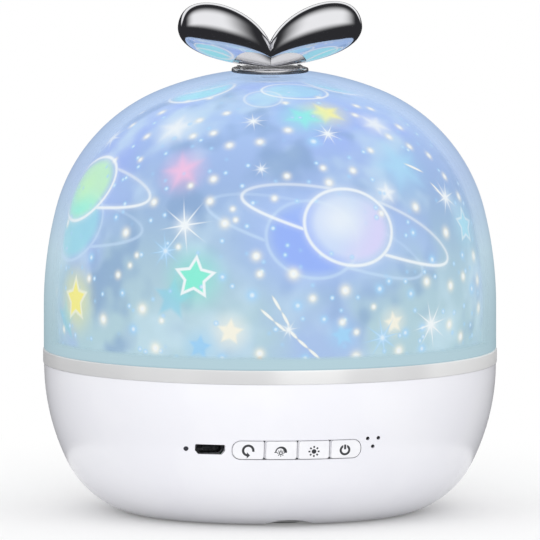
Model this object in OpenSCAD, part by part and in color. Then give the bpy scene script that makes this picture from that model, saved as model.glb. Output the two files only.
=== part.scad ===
// Star night light projector: a round lamp with a bowl base, a silver band, a lift-off
// milky dome over a turning printed film, and a pair of bright leaves on the crown.
// Millimetres. Origin at the middle of the floor, +Z up, the row of buttons faces -Y.

/* [Overall] */
// Outer diameter of the silver band, the widest part
band_d = 130; // [126:1:160]
// Height of the bowl from the floor to the band
bowl_h = 42.7; // [42:0.1:52]
// Height at which the dome starts to lean inward
dome_lean_z = 59.05; // [56:0.1:72]

/* [Bowl] */
// How far the bowl stays inside the band
bowl_inset = 0.28; // [0.1:0.02:1]
// Wall of the bowl
bowl_wall = 2.2; // [1.6:0.1:2.8]
// Radius of the bowl's long side arc, seen from the side
bowl_side_r = 63.9; // [58:0.1:70]
// Angle over which the side arc runs
bowl_side_a = 26.6; // [22:0.1:30]
// Radius of the bowl's lower corner
bowl_corner_r = 26.7; // [24:0.1:29]
// Height of the bowl's rim above the table
rim_z = 0.5; // [0.3:0.1:1]
// Width of the arched notch in the front of the rim
notch_w = 16; // [10:0.5:22]
// Height of the arched notch
notch_h = 2.1; // [1.2:0.1:2.4]

/* [Bottom cover] */
// Radius of the round opening that the bottom cover fills
floor_hole_r = 38.2; // [36:0.1:39]
// Thickness of the bottom cover
floor_t = 1.9; // [1.6:0.1:2.4]
// Gap between the table and the bottom cover
floor_z = 0.7; // [0.6:0.1:1]
// Inner radius of the ledge that the bottom cover meets
ledge_r = 30; // [27:0.5:31]
// Thickness of that ledge
ledge_t = 1.8; // [1.4:0.1:2.4]
// Radius of the circle of bottom screws
floor_screw_r = 34; // [33.5:0.1:35]
// Radius of a rubber foot
foot_r = 5; // [3:0.5:6]
// Distance of a foot from the centre
foot_at = 30; // [24:0.5:31]

/* [Band] */
// Height of the silver band
band_h = 4.1; // [3.6:0.1:5]
// Wall of the band
band_wall = 0.9; // [0.7:0.1:1.1]
// Thickness of the flange that holds the band down
band_flange = 0.8; // [0.6:0.1:1]

/* [Dome] */
// How far the dome stays inside the band
dome_inset = 0.23; // [0.1:0.01:0.6]
// Wall of the milky cover
cover_wall = 1.7; // [1.4:0.1:1.9]
// Radius of the long side arc
dome_side_r = 112.75; // [104:0.05:120]
// Angle over which the side arc runs
dome_side_a = 14.16; // [12:0.01:16]
// Radius of the shoulder arc
dome_shoulder_r = 49.72; // [46:0.01:53]
// Angle above the floor at which the crown arc takes over
dome_crown_a = 67.69; // [64:0.01:70]
// Gap between the band's top and the cover's shoulder
cover_gap = 0.2; // [0.1:0.05:0.4]
// Play between the cover's rebated skirt and the band
skirt_play = 0.3; // [0.2:0.05:0.4]
// Gap between the cover and the turning film
film_gap = 0.9; // [0.7:0.05:1.1]
// Thickness of the printed film
film_t = 0.3; // [0.2:0.05:0.4]
// Wall of the clear dome that carries the film
carrier_wall = 1.2; // [1:0.1:1.5]
// Radius of the opening at the pole of the film and its carrier
pole_r = 8; // [7.5:0.1:10]

/* [Leaves] */
// Diameter of the round plate under the leaves
plate_d = 22; // [18:0.5:26]
// Thickness of that plate at its rim
plate_t = 1.2; // [0.8:0.1:1.6]
// Reach of one leaf from the middle
leaf_reach = 26.4; // [22:0.1:30]
// Half the gap between the two leaves
leaf_split = 0.3; // [0.2:0.05:0.6]
// Half the depth of a leaf, front to back
leaf_depth = 6.2; // [4:0.1:8]
// Distance of a leaf's peg from the middle
peg_at = 5.8; // [5:0.1:7]
// Radius of a leaf's peg
peg_r = 1.5; // [1.2:0.1:1.8]

/* [Drive] */
// Tooth size of the drive, pitch diameter over tooth count
gear_m = 1.25; // [1.2:0.05:1.3]
// Teeth on the turntable
gear_n = 48; // [44:4:52]
// Teeth on the motor pinion
pinion_n = 12; // [12:1:13]
// Thickness of the teeth
gear_t = 3; // [2.4:0.1:3.2]
// Free play between the teeth, along the pitch circle
backlash = 0.3; // [0.2:0.05:0.4]
// Radius of the fixed hub that the turntable runs on
hub_r = 12; // [11:0.5:13]
// Radial clearance of the running fits
run_fit = 0.05; // [0.03:0.01:0.08]
// Thickness of the turntable's plate
table_t = 1.6; // [1.2:0.1:2]
// Radius of the motor's body
motor_r = 12; // [10:0.5:13]
// Height of the motor's body
motor_h = 19; // [14:0.5:20]
// Radius of the motor's shaft
shaft_r = 1.5; // [1.2:0.1:2]

/* [Controls] */
// Height of the row of buttons above the floor
panel_z = 23.8; // [23:0.1:26]
// Width of a button
button_w = 8.6; // [7:0.1:9]
// Height of a button
button_h = 5.2; // [4:0.1:6]
// Distance from one button to the next
button_pitch = 9.33; // [9.3:0.01:10]
// How far a button stands out of the wall
button_proud = 0.35; // [0.2:0.05:0.5]
// Travel of a button
button_travel = 0.5; // [0.3:0.05:0.6]
// Place of the charging socket along the front
usb_x = -24.4; // [-26:0.1:-24]
// Width of the socket's opening at its top
usb_w = 8.2; // [8:0.1:9]
// Height of the socket's opening
usb_h = 2.9; // [2.8:0.1:3.2]
// Place of the small charge light along the front
led_x = -30.9; // [-32:0.1:-30.5]
// Place of the microphone holes along the front
mic_x = 22; // [21.5:0.1:24]

/* [Battery] */
// Diameter of the cell
cell_d = 18.3; // [14:0.1:18.6]
// Length of the cell
cell_l = 65; // [50:0.5:68]
// Distance of the cell behind the middle
cell_y = 8; // [6:0.5:9]

/* [Hidden] */
$fn = 96;

arc_steps = 10;      // straight runs in one arc of an outline
seat = 0.3;          // clearance where one piece drops into another
snug = 0.1;          // clearance between pieces that never move against each other
slop = 0.15;         // extra radius of a screw's clearance hole
screw_r = 1.25;      // shank of the small screws
pilot_play = 0.05;   // extra radius of a pilot hole

// Bowl: a long side arc and a tighter corner arc that share a tangent
band_r = band_d / 2;
bowl_r = band_r - bowl_inset;
bowl_c1 = [bowl_r - bowl_side_r, bowl_h];
bowl_c2 = bowl_c1 + (bowl_side_r - bowl_corner_r) * [cos(bowl_side_a), -sin(bowl_side_a)];
ledge_z = floor_z + floor_t;
ledge_top = ledge_z + ledge_t;

// Dome: side, shoulder and crown arcs, each tangent to the next, the last on the axis
dome_r = band_r - dome_inset;
dome_c1 = [dome_r - dome_side_r, dome_lean_z];
dome_c2 = dome_c1 + (dome_side_r - dome_shoulder_r) * [cos(dome_side_a), sin(dome_side_a)];
dome_crown_r = dome_shoulder_r + dome_c2[0] / cos(dome_crown_a);
dome_c3 = dome_c2 + (dome_shoulder_r - dome_crown_r) * [cos(dome_crown_a), sin(dome_crown_a)];
dome_top = dome_c3[1] + dome_crown_r;

// Stack at the band
band_top = bowl_h + band_h;
deck_top = bowl_h + band_flange;
deck_t = 2;
deck_z = deck_top - deck_t;
lip_t = 0.8;
lip_top = deck_top + lip_t;
skirt_z = lip_top + seat;
cover_z = band_top + cover_gap;
band_in_r = band_r - band_wall;
skirt_r = band_in_r - skirt_play;
cover_in_r = dome_r - cover_wall;
deck_r = bowl_r - bowl_wall - 0.2;

// Offsets inward from the dome's outside
film_out = cover_wall + film_gap;
film_in = film_out + film_t;
carrier_out = film_in + snug;
carrier_in = carrier_out + carrier_wall;

// Hub, turntable and drive
table_z = deck_top + 4.1;
table_top = table_z + table_t;
gear_z = table_z - gear_t;
sleeve_z = deck_top + 2.5;
sleeve_top = table_top + 1.8;
sleeve_r = hub_r + 3;
hub_step_r = hub_r + 2;
hub_top = sleeve_top + 2.2;
hub_bore = hub_r - 3;
clip_z = sleeve_top + 0.2;
clip_t = 0.8;
gear_pitch_r = gear_m * gear_n / 2;
pinion_pitch_r = gear_m * pinion_n / 2;
drive_y = gear_pitch_r + pinion_pitch_r;
press = 20;          // pressure angle of the teeth
gear_add = 0.8;      // height of the teeth above the pitch circle, in tooth sizes
gear_ded = 1.15;     // depth of the teeth below it
motor_ear = 17;
motor_top = deck_z;

// Plate and leaves
plate_r = plate_d / 2;
plate_top = dome_top - dome_crown_r + sqrt(pow(dome_crown_r, 2) - pow(plate_r, 2)) + plate_t;
crown_hole_r = 2.7;
pad_r = 5.5;
pad_z = dome_top - cover_wall - 0.5;
washer_t = 0.8;
head_h = 1.6;
head_r = 2.6;
collar_h = 2.3;      // height of the jaws that hold a leaf's root
jaw_in = 3.1;        // half the gap between a front jaw and a rear one
jaw_out = 4.8;
leaf_low = plate_top + 2.35;
peg_l = 4.6;         // length of the peg that a leaf is pushed on

// Front panel
wall_d = bowl_wall + 0.3;
flange_d = bowl_wall + 1.6;
panel_r = bowl_rz(panel_z, 0);
switch_y = -(panel_r - 7.9);
switch_l = 3.5;
switch_w = 6;
switch_h = 3.4;
stem_out = 1.25;
stem_in = 1;
board_t = 1.6;
usb_play = 0.15;      // gap between the socket and its opening
board_top = panel_z - usb_h / 2 + usb_play;
board_z = board_top - board_t;
board_edge = switch_y + 1;
board_r = panel_r - 4.4;
board_back = -30;
board_post = [13, -35.7];
post_r = 3;
deck_boss_r = 3.6;
deck_screw_at = bowl_r - bowl_wall - 5;
deck_boss_z = bowl_h - 12.7;
cell_z = ledge_top + 0.45 + cell_d / 2;

function polar(c, r, a) = c + r * [cos(a), sin(a)];
function arc(c, r, a0, a1, n = arc_steps) =
    [for (i = [0:n]) polar(c, r, a0 + (a1 - a0) * i / n)];
function tail(v) = [for (i = [1:len(v) - 1]) v[i]];
function flip(v) = [for (i = [len(v) - 1:-1:0]) v[i]];

// Bowl radius at a height, moved inward by d
function bowl_rz(z, d) = z > bowl_c2[1] - (bowl_corner_r - d) * sin(bowl_side_a)
    ? bowl_c1[0] + sqrt(pow(bowl_side_r - d, 2) - pow(bowl_c1[1] - z, 2))
    : bowl_c2[0] + sqrt(pow(bowl_corner_r - d, 2) - pow(bowl_c2[1] - z, 2));

// Bowl outline moved inward by d, from the band down to height z
function bowl_line(d, z) = let (low = asin((bowl_c2[1] - z) / (bowl_corner_r - d)))
    concat(arc(bowl_c1, bowl_side_r - d, 0, -bowl_side_a),
           tail(arc(bowl_c2, bowl_corner_r - d, -bowl_side_a, -low)));

// Dome outline moved inward by d, from the lean upward to radius r_end
function dome_line(d, r_end = 0) = let (end = acos(r_end / (dome_crown_r - d)))
    concat(arc(dome_c1, dome_side_r - d, 0, dome_side_a, 7),
           tail(arc(dome_c2, dome_shoulder_r - d, dome_side_a, dome_crown_a, 18)),
           tail(arc(dome_c3, dome_crown_r - d, dome_crown_a, end)));
function dome_z(r, d) = dome_c3[1] + sqrt(pow(dome_crown_r - d, 2) - pow(r, 2));

// A dome-shaped skin between two offsets, standing on height z, open at the pole
function skin_line(d0, d1, z, r_end = 0) = concat(
    [[dome_r - d1, z], [dome_r - d0, z]], dome_line(d0, r_end), flip(dome_line(d1, r_end)));

// Rounded rectangle
function round_box(w, h, r, n = 6) = [for (q = [0:3]) for (i = [0:n])
    let (a = 90 * (q + i / n), sx = q == 0 || q == 3 ? 1 : -1, sy = q < 2 ? 1 : -1)
    [sx * (w / 2 - r) + r * cos(a), sy * (h / 2 - r) + r * sin(a)]];

// Gear outline with involute flanks
function inv(a) = tan(a) * 180 / PI - a;
function half_tooth(n, r) = let (rp = gear_m * n / 2, rb = rp * cos(press))
    90 / n - backlash / 2 / rp * 180 / PI / 2 + inv(press) - inv(acos(min(1, rb / r)));
function gear_line(n) = let (
        rp = gear_m * n / 2, rb = rp * cos(press), ro = rp + gear_add * gear_m,
        ri = rp - gear_ded * gear_m, r0 = max(rb, ri), rs = [ri, r0, (r0 + ro) / 2, ro])
    [for (t = [0:n - 1]) for (s = [-1, 1]) for (k = [0:3])
        let (r = rs[s < 0 ? k : 3 - k], h = half_tooth(n, max(r, r0)))
        polar([0, 0], r, 360 * t / n + s * h)];

module along_front(y, l) { translate([0, y, 0]) rotate([90, 0, 0]) linear_extrude(l) children(); }
module around(r, a) { for (t = a) rotate(t) translate([r, 0, 0]) children(); }
module screw(l, up = false) {
    mirror([0, 0, up ? 1 : 0]) {
        translate([0, 0, -l]) cylinder(r = screw_r, h = l);
        difference() {
            cylinder(r = head_r, h = head_h);
            translate([0, 0, head_h - 0.8]) cross_recess();
        }
    }
}
module cross_recess() {
    for (t = [0, 90]) rotate(t) translate([-1.4, -0.3, 0]) cube([2.8, 0.6, 1]);
}

module base_shell() {
    color("white") difference() {
        union() {
            rotate_extrude() polygon(concat(bowl_line(0, rim_z),
                [[floor_hole_r, rim_z], [floor_hole_r, ledge_z], [ledge_r, ledge_z],
                 [ledge_r, ledge_top]], flip(bowl_line(bowl_wall, ledge_top))));
            around(floor_screw_r, [45:90:315]) translate([0, 0, ledge_z])
                cylinder(r = 3.5, h = 9);
            around(deck_screw_at, [45:90:315]) translate([0, 0, deck_boss_z]) {
                cylinder(r = deck_boss_r, h = deck_z - deck_boss_z);
                translate([0, -1.2, 0]) cube([bowl_wall + 3.1, 2.4, deck_z - deck_boss_z]);
            }
            for (s = [-1, 1]) translate([s * board_post[0], board_post[1], ledge_z])
                cylinder(r = post_r, h = board_z - ledge_z);
        }
        around(floor_screw_r, [45:90:315]) translate([0, 0, ledge_z - 1])
            cylinder(r = screw_r + pilot_play, h = 9);
        around(deck_screw_at, [45:90:315]) translate([0, 0, deck_boss_z + 2])
            cylinder(r = screw_r + pilot_play, h = bowl_h);
        for (s = [-1, 1]) translate([s * board_post[0], board_post[1], ledge_top + 2])
            cylinder(r = screw_r + pilot_play, h = board_z);
        arch_r = (pow(notch_w / 2, 2) + pow(notch_h, 2)) / 2 / notch_h;
        along_front(-floor_hole_r + 4, 14) translate([0, notch_h - arch_r])
            circle(r = arch_r);
        along_front(-panel_r + 14, 20) {
            translate([0, panel_z]) polygon(round_box(3 * button_pitch + button_w + 0.5,
                button_h + 0.5, 2.55));
            translate([usb_x, panel_z]) polygon(usb_line(0));
            for (p = [[-1.6, 2.8], [1.6, 2.8], [0, 0.4]])
                translate([mic_x + p[0], panel_z + p[1]]) circle(r = 0.55);
        }
        translate([led_x, -sqrt(pow(panel_r, 2) - pow(led_x, 2)) + 8, panel_z])
            rotate([90, 0, 0]) cylinder(r = 0.7, h = 14);
    }
}

// Opening of the charging socket, moved inward by d: wide at the top, narrow below
function usb_line(d) = let (w = usb_w / 2 - d, h = usb_h / 2 - d)
    [[-w + 0.9, -h], [w - 0.9, -h], [w, -h + 1.1], [w, h - 0.25], [w - 0.25, h],
     [-w + 0.25, h], [-w, h - 0.25], [-w, -h + 1.1]];

module bottom_cover() {
    color("whitesmoke") difference() {
        union() {
            translate([0, 0, floor_z]) cylinder(r = floor_hole_r - seat, h = floor_t);
            for (s = [-1, 1]) translate([s * 20 - 1.25, cell_y - 11, ledge_z - 0.5])
                cube([2.5, 22, cell_z - ledge_z]);
        }
        for (t = [0:90:270]) rotate(t) translate([foot_at, 0, 0])
            cylinder(r = foot_r + 0.2, h = floor_z + 0.8);
        around(floor_screw_r, [45:90:315]) {
            cylinder(r = screw_r + slop, h = ledge_top);
            cylinder(r = head_r + 0.4, h = floor_z + 1.1);
        }
        translate([-cell_l / 2, cell_y, cell_z]) rotate([0, 90, 0])
            cylinder(r = cell_d / 2 + snug, h = cell_l);
    }
}

module feet() {
    color("dimgray") around(foot_at, [0:90:270]) {
        cylinder(r = foot_r - 0.4, h = 0.4);
        translate([0, 0, 0.4]) cylinder(r = foot_r, h = floor_z + 0.4);
    }
}

module bottom_screws() {
    color("silver") around(floor_screw_r, [45:90:315]) translate([0, 0, floor_z + 1.1]) {
        cylinder(r = screw_r, h = 8.4);
        translate([0, 0, -1]) difference() {
            cylinder(r = head_r, h = 1);
            translate([0, 0, -0.4]) cross_recess();
        }
    }
}

module trim_ring() {
    color("silver") rotate_extrude() polygon([[deck_r + seat, bowl_h], [band_r - 0.35, bowl_h],
        [band_r, bowl_h + 0.35], [band_r, band_top - 0.3], [band_r - 0.3, band_top],
        [band_in_r, band_top], [band_in_r, deck_top], [deck_r + seat, deck_top]]);
}

module deck() {
    color("gainsboro") difference() {
        union() {
            rotate_extrude() polygon([[hub_bore, deck_z - 3], [hub_r + 1, deck_z - 3],
                [hub_r + 1, deck_z], [deck_r, deck_z], [deck_r, deck_top],
                [band_in_r - 0.4, deck_top], [band_in_r - 0.4, lip_top],
                [deck_r - 1.8, lip_top], [deck_r - 1.8, deck_top], [hub_step_r, deck_top],
                [hub_step_r, sleeve_z - 0.2], [hub_r, sleeve_z - 0.2], [hub_r, clip_z],
                [hub_r - 0.8, clip_z], [hub_r - 0.8, clip_z + clip_t],
                [hub_r, clip_z + clip_t], [hub_r, hub_top], [hub_bore, hub_top]]);
            for (t = [0:60:300]) rotate(t) translate([hub_r, -0.8, deck_z - 2])
                cube([24, 1.6, 2.5]);
        }
        translate([0, drive_y, 0]) {
            cylinder(r = 5, h = cover_z);
            for (s = [-1, 1]) translate([s * motor_ear, 0, 0])
                cylinder(r = screw_r + slop, h = cover_z);
        }
        around(deck_screw_at, [45:90:315]) cylinder(r = screw_r + slop, h = cover_z);
        translate([0, drive_y, deck_z - 3]) cylinder(r = motor_r + seat, h = 3);
        for (t = [0:60:300]) rotate(t + 30) translate([hub_r + 12, 0, 0])
            cylinder(r = 2.5, h = cover_z);
    }
}

module deck_screws() {
    color("silver") around(deck_screw_at, [45:90:315]) translate([0, 0, deck_top]) screw(9);
}

module hub_clip() {
    color("silver") translate([0, 0, clip_z + 0.05]) difference() {
        cylinder(r = hub_r + 1.6, h = clip_t - 0.1);
        translate([0, 0, -1]) cylinder(r = hub_r - 0.7, h = 3);
        translate([0, -1.6, -1]) cube([hub_r * 2, 3.2, 3]);
    }
}

module dome_cover() {
    color("lightsteelblue", 0.6) difference() {
        union() {
            rotate_extrude() polygon(concat([[cover_in_r, skirt_z], [skirt_r - 0.2, skirt_z],
                [skirt_r, skirt_z + 0.3], [skirt_r, cover_z], [dome_r - 0.2, cover_z],
                [dome_r, cover_z + 0.2]], dome_line(0), flip(dome_line(cover_wall))));
            translate([0, 0, pad_z]) cylinder(r = pad_r, h = 1.2);
        }
        translate([0, 0, pad_z - 1]) cylinder(r = crown_hole_r, h = 6);
    }
}

module leaf_base() {
    color("silver") difference() {
        union() {
            rotate_extrude() polygon(concat([[0, plate_top], [plate_r - 0.3, plate_top],
                [plate_r, plate_top - 0.3], [plate_r, dome_z(plate_r, -snug)]],
                [for (i = [4:-1:0]) let (r = plate_r * i / 5) [r, dome_z(r, -snug)]]));
            translate([0, 0, pad_z + snug])
                cylinder(r = crown_hole_r - 0.2, h = plate_top - pad_z - 0.3);
            for (s = [0, 1]) mirror([s, 0, 0]) {
                for (t = [0, 1]) mirror([0, t, 0]) jaw();
                along_front(jaw_in + 0.5, 2 * jaw_in + 1) translate([peg_at, plate_top])
                    polygon([[2.5, -0.2], [3, -0.2], [3.4, 0.6], [2.5, 0.6]]);
                translate([peg_at, 0, plate_top - 0.2]) cylinder(r = peg_r, h = peg_l + 0.2);
            }
        }
        translate([0, 0, pad_z - 1])
            cylinder(r = screw_r + pilot_play, h = plate_top - pad_z + 0.7);
    }
}

// Facetted jaw in front of a leaf's root, with its point towards the middle
module jaw() {
    intersection() {
        along_front(-jaw_in, jaw_out - jaw_in) translate([peg_at, plate_top])
            polygon([[-3.5, -0.2], [2.9, -0.2], [3.6, collar_h - 1.2], [2.5, collar_h - 0.5],
                     [0.9, collar_h], [-0.9, collar_h - 0.3], [-2, collar_h - 1]]);
        translate([peg_at, 0, plate_top - 1]) linear_extrude(collar_h + 2)
            polygon([[-4, -jaw_in + 1], [-4, -jaw_in - 0.2], [-1.2, -jaw_out], [1.8, -jaw_out],
                     [4, -jaw_in - 0.7], [4, -jaw_in + 1]]);
    }
}

// A leaf is lofted between a top rail and a bottom rail, two cubic curves in the
// front view: each section is an ellipse whose long axis joins the two rails.
leaf_rings = 30;
leaf_sides = 28;
function rail(p, t) = pow(1 - t, 3) * p[0] + 3 * t * pow(1 - t, 2) * p[1]
    + 3 * t * t * (1 - t) * p[2] + pow(t, 3) * p[3];
leaf_tip = [leaf_reach, leaf_low + 9];
leaf_up = [[leaf_split, leaf_low + 5.2], [leaf_split + 5.2, leaf_low + 16.7],
    [leaf_reach + 0.2, leaf_low + 21.9], leaf_tip];
leaf_down = [[leaf_split, plate_top + 0.2], [leaf_split + 6.7, plate_top + 0.35],
    [leaf_reach, leaf_low + 0.9], leaf_tip];
function leaf_w(t) = leaf_depth * (0.35 + 0.65 * sin(min(90, 150 * t))) * sqrt(1 - pow(t, 3));
function leaf_t(i) = 1 - pow(1 - i / leaf_rings, 1.6);
module leaf(s) {
    rings = [for (i = [0:leaf_rings - 1]) let (t = leaf_t(i), a = rail(leaf_up, t),
        b = rail(leaf_down, t)) for (k = [0:leaf_sides - 1]) let (f = 360 * k / leaf_sides,
        c = (a + b) / 2 + (a - b) / 2 * cos(f)) [s * c[0], leaf_w(t) * sin(f), c[1]]];
    n = leaf_sides;
    last = (leaf_rings - 1) * n;
    tip = leaf_rings * n;
    polyhedron(concat(rings, [[s * leaf_tip[0], 0, leaf_tip[1]]]), concat(
        [[for (k = [0:n - 1]) s < 0 ? k : n - 1 - k]],
        [for (i = [0:leaf_rings - 2]) for (k = [0:n - 1]) for (h = [0, 1])
            let (a = i * n + k, b = i * n + (k + 1) % n,
                 f = h == 0 ? [a, a + n, b] : [b, a + n, b + n])
            s < 0 ? f : [f[2], f[1], f[0]]],
        [for (k = [0:n - 1]) let (f = [last + k, tip, last + (k + 1) % n])
            s < 0 ? f : [f[2], f[1], f[0]]]));
}
// Blind bore that the plate's peg goes up into
module peg_bore(s) {
    translate([s * peg_at, 0, plate_top - 1])
        cylinder(r = peg_r + snug, h = peg_l + 1.3, $fn = 32);
}
module left_leaf() { color("silver") difference() { leaf(-1); peg_bore(-1); } }
module right_leaf() { color("silver") difference() { leaf(1); peg_bore(1); } }

module dome_screw() {
    color("silver") translate([0, 0, pad_z - washer_t]) screw(3, up = true);
}

module dome_washer() {
    color("silver") translate([0, 0, pad_z - washer_t]) difference() {
        cylinder(r = 4.5, h = washer_t);
        translate([0, 0, -1]) cylinder(r = screw_r + slop, h = 3);
    }
}

module turntable() {
    color("whitesmoke") difference() {
        union() {
            translate([0, 0, table_z]) cylinder(r = dome_r - film_out, h = table_t);
            translate([0, 0, gear_z]) linear_extrude(gear_t + 0.4) polygon(gear_line(gear_n));
            translate([0, 0, sleeve_z]) cylinder(r = sleeve_r, h = sleeve_top - sleeve_z);
            translate([0, 0, table_top - 0.4]) difference() {
                cylinder(r = dome_r - carrier_in - 0.35, h = 3.4);
                translate([0, 0, -1]) cylinder(r = dome_r - carrier_in - 1.65, h = 6);
            }
        }
        translate([0, 0, sleeve_z - 1]) cylinder(r = hub_r + run_fit, h = 12);
        translate([0, 0, gear_z - 1]) difference() {
            cylinder(r = gear_pitch_r - gear_ded * gear_m - 3.4, h = table_z - gear_z + 1);
            translate([0, 0, sleeve_z - gear_z + 1]) cylinder(r = sleeve_r, h = 12);
        }
        around(dome_r - 20, [0:45:315]) translate([0, 0, table_z - 1]) cylinder(r = 6, h = 6);
    }
}

module film_carrier() {
    color("azure", 0.3) rotate_extrude()
        polygon(skin_line(carrier_out, carrier_in, table_top, pole_r));
}

module star_film() {
    color("lightskyblue", 0.8) rotate_extrude()
        polygon(skin_line(film_out, film_in, table_top, pole_r));
}

// Flanged ring that pins the film to its carrier at the pole
module pole_ring() {
    z_up = dome_z(pole_r, film_out);
    z_low = dome_z(pole_r + 1.6, carrier_in);
    color("whitesmoke") rotate_extrude() polygon([[pole_r - 1.4, z_low - 0.8],
        [pole_r + 1.6, z_low - 0.8], [pole_r + 1.6, z_low - 0.05],
        [pole_r - 0.2, z_low - 0.05], [pole_r - 0.2, z_up + 0.05], [pole_r + 1.6, z_up + 0.05],
        [pole_r + 1.6, z_up + 0.4], [pole_r - 1.4, z_up + 0.4]]);
}

module gearmotor() {
    color("lightgray") translate([0, drive_y, 0]) difference() {
        union() {
            translate([0, 0, motor_top - motor_h]) cylinder(r = motor_r, h = motor_h);
            translate([0, 0, motor_top - 1]) cylinder(r = 4.5, h = 2.6);
            translate([0, 0, motor_top - 1.4]) linear_extrude(1.4)
                polygon(round_box(2 * motor_ear + 7, 7, 3.4));
        }
        translate([0, 0, motor_top - 3]) cylinder(r = shaft_r + run_fit, h = 9);
        for (s = [-1, 1]) translate([s * motor_ear, 0, motor_top - 2])
            cylinder(r = screw_r + pilot_play, h = 4);
    }
}

module motor_screws() {
    color("silver") for (s = [-1, 1]) translate([s * motor_ear, drive_y, deck_top]) screw(4.5);
}

module motor_shaft() {
    color("silver") translate([0, drive_y, motor_top - 2.8])
        cylinder(r = shaft_r, h = gear_z + gear_t - motor_top + 2.5);
}

module drive_pinion() {
    color("ivory") translate([0, drive_y, gear_z + 0.1]) difference() {
        rotate(180 / pinion_n + (pinion_n % 4) * 90 / pinion_n)
            linear_extrude(gear_t - 0.3) polygon(gear_line(pinion_n));
        translate([0, 0, -1]) cylinder(r = shaft_r + 0.02, h = gear_t + 2);
    }
}

module led_board() {
    color("white") translate([0, 0, hub_top]) cylinder(r = hub_r - 0.5, h = board_t);
}

module led_emitters() {
    z = hub_top + board_t;
    color("gold") {
        translate([0, 0, z]) {
            cylinder(r = 2.8, h = 1);
            translate([0, 0, 1]) rotate_extrude()
                polygon(concat([[0, 0]], arc([0, 0], 2.4, 0, 90, 6)));
        }
        around(7, [45:90:315]) translate([-1.75, -1.75, z]) cube([3.5, 3.5, 1.4]);
    }
}

// Finned aluminium plug inside the hub
module heatsink() {
    fins = 12;
    color("silver") translate([0, 0, deck_z - 1]) difference() {
        cylinder(r = hub_bore - 0.2, h = hub_top - deck_z + 1);
        for (i = [0:fins - 1]) rotate(360 * i / fins) translate([4, -0.9, -1])
            cube([hub_r, 1.8, hub_top - deck_z - 0.5]);
    }
}

module control_board() {
    color("darkgreen") translate([0, 0, board_z]) difference() {
        intersection() {
            cylinder(r = board_r, h = board_t);
            translate([-38, board_edge, -1]) cube([68, board_back - board_edge, 4]);
        }
        for (s = [-1, 1]) translate([s * board_post[0], board_post[1], -1])
            cylinder(r = screw_r + slop, h = 4);
    }
}

module board_screws() {
    color("silver") for (s = [-1, 1])
        translate([s * board_post[0], board_post[1], board_top]) screw(8);
}

module usb_socket() {
    mouth = -sqrt(pow(panel_r, 2) - pow(usb_x, 2)) + 2.2;
    color("silver") translate([usb_x, 0, panel_z]) {
        difference() {
            along_front(mouth + 6, 6) polygon(usb_line(usb_play));
            along_front(mouth + 5.2, 6) polygon(usb_line(usb_play + 0.3));
        }
        translate([-1.9, mouth + 0.8, 0.1]) cube([3.8, 4.6, 0.5]);
    }
}

module switches() {
    color("dimgray") for (i = [0:3]) translate([(i - 1.5) * button_pitch, switch_y, 0])
        difference() {
            translate([-switch_w / 2, 0, board_top]) cube([switch_w, switch_l, switch_h]);
            translate([0, -1, panel_z + 0.2]) rotate([-90, 0, 0])
                cylinder(r = 1.1 + run_fit, h = 1 + stem_in + button_travel + 0.3);
        }
}

module switch_stem(i) {
    color("black") translate([(i - 1.5) * button_pitch, switch_y - stem_out, panel_z + 0.2])
        rotate([-90, 0, 0]) cylinder(r = 1.1, h = stem_out + stem_in);
}
module switch_stem_1() { switch_stem(0); }
module switch_stem_2() { switch_stem(1); }
module switch_stem_3() { switch_stem(2); }
module switch_stem_4() { switch_stem(3); }

// A slice of the bowl's front wall between two offsets
module wall_slice(d0, d1) {
    zs = [for (k = [-6:6]) panel_z + k];
    rotate(-120) rotate_extrude(angle = 60) polygon(concat(
        [for (z = zs) [bowl_rz(z, d0), z]], flip([for (z = zs) [bowl_rz(z, d1), z]])));
}

module button(i) {
    x = (i - 1.5) * button_pitch;
    end = i == 0 ? -1 : i == 3 ? 1 : 0;
    root = sqrt(pow(panel_r - bowl_wall - 0.9, 2) - pow(abs(x) + 1.3, 2));
    color("white") {
        intersection() {
            wall_slice(-button_proud, flange_d);
            along_front(-panel_r + 8, 12) translate([x, panel_z])
                polygon(button_line(button_w, button_h, end));
        }
        intersection() {
            wall_slice(wall_d, flange_d);
            translate([x - button_w / 2, -panel_r - 2, panel_z - button_h / 2 - 1.2])
                cube([button_w, 12, button_h + 2.4]);
        }
        translate([x - 1.3, -root, panel_z - 1.1]) cube([2.6, root + switch_y - stem_out, 2.6]);
    }
}

// Button outline: small corners, and a fuller round on the free end of the row
function button_line(w, h, end) = [for (q = [0:3]) for (i = [0:5])
    let (sx = q == 0 || q == 3 ? 1 : -1, sy = q < 2 ? 1 : -1, r = sx == end ? 2.3 : 0.5,
         a = 90 * (q + i / 5)) [sx * (w / 2 - r) + r * cos(a), sy * (h / 2 - r) + r * sin(a)]];
module button_rotate() { button(0); }
module button_dimmer() { button(1); }
module button_sun() { button(2); }
module button_power() { button(3); }

module charge_led() {
    y = -sqrt(pow(panel_r, 2) - pow(led_x, 2));
    color("white") translate([led_x, 0, panel_z]) {
        translate([0, y + 4.4, 0]) rotate([90, 0, 0]) cylinder(r = 0.6, h = 4.1);
        translate([-0.9, y + 4.4, board_top - panel_z]) cube([1.8, 2.2, 2.6]);
    }
}

module microphone() {
    y = -sqrt(pow(panel_r, 2) - pow(mic_x, 2));
    color("silver") translate([mic_x, y + 7, board_top + 2.6]) rotate([90, 0, 0]) {
        cylinder(r = 2.55, h = 2.4);
        translate([0, 0, -0.4]) cylinder(r = 2.1, h = 3.1);
    }
}

module battery_cell() {
    color("steelblue") translate([-cell_l / 2, cell_y, cell_z]) rotate([0, 90, 0]) {
        cylinder(r = cell_d / 2, h = cell_l - 0.8);
        cylinder(r = 3, h = cell_l);
    }
}

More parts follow.
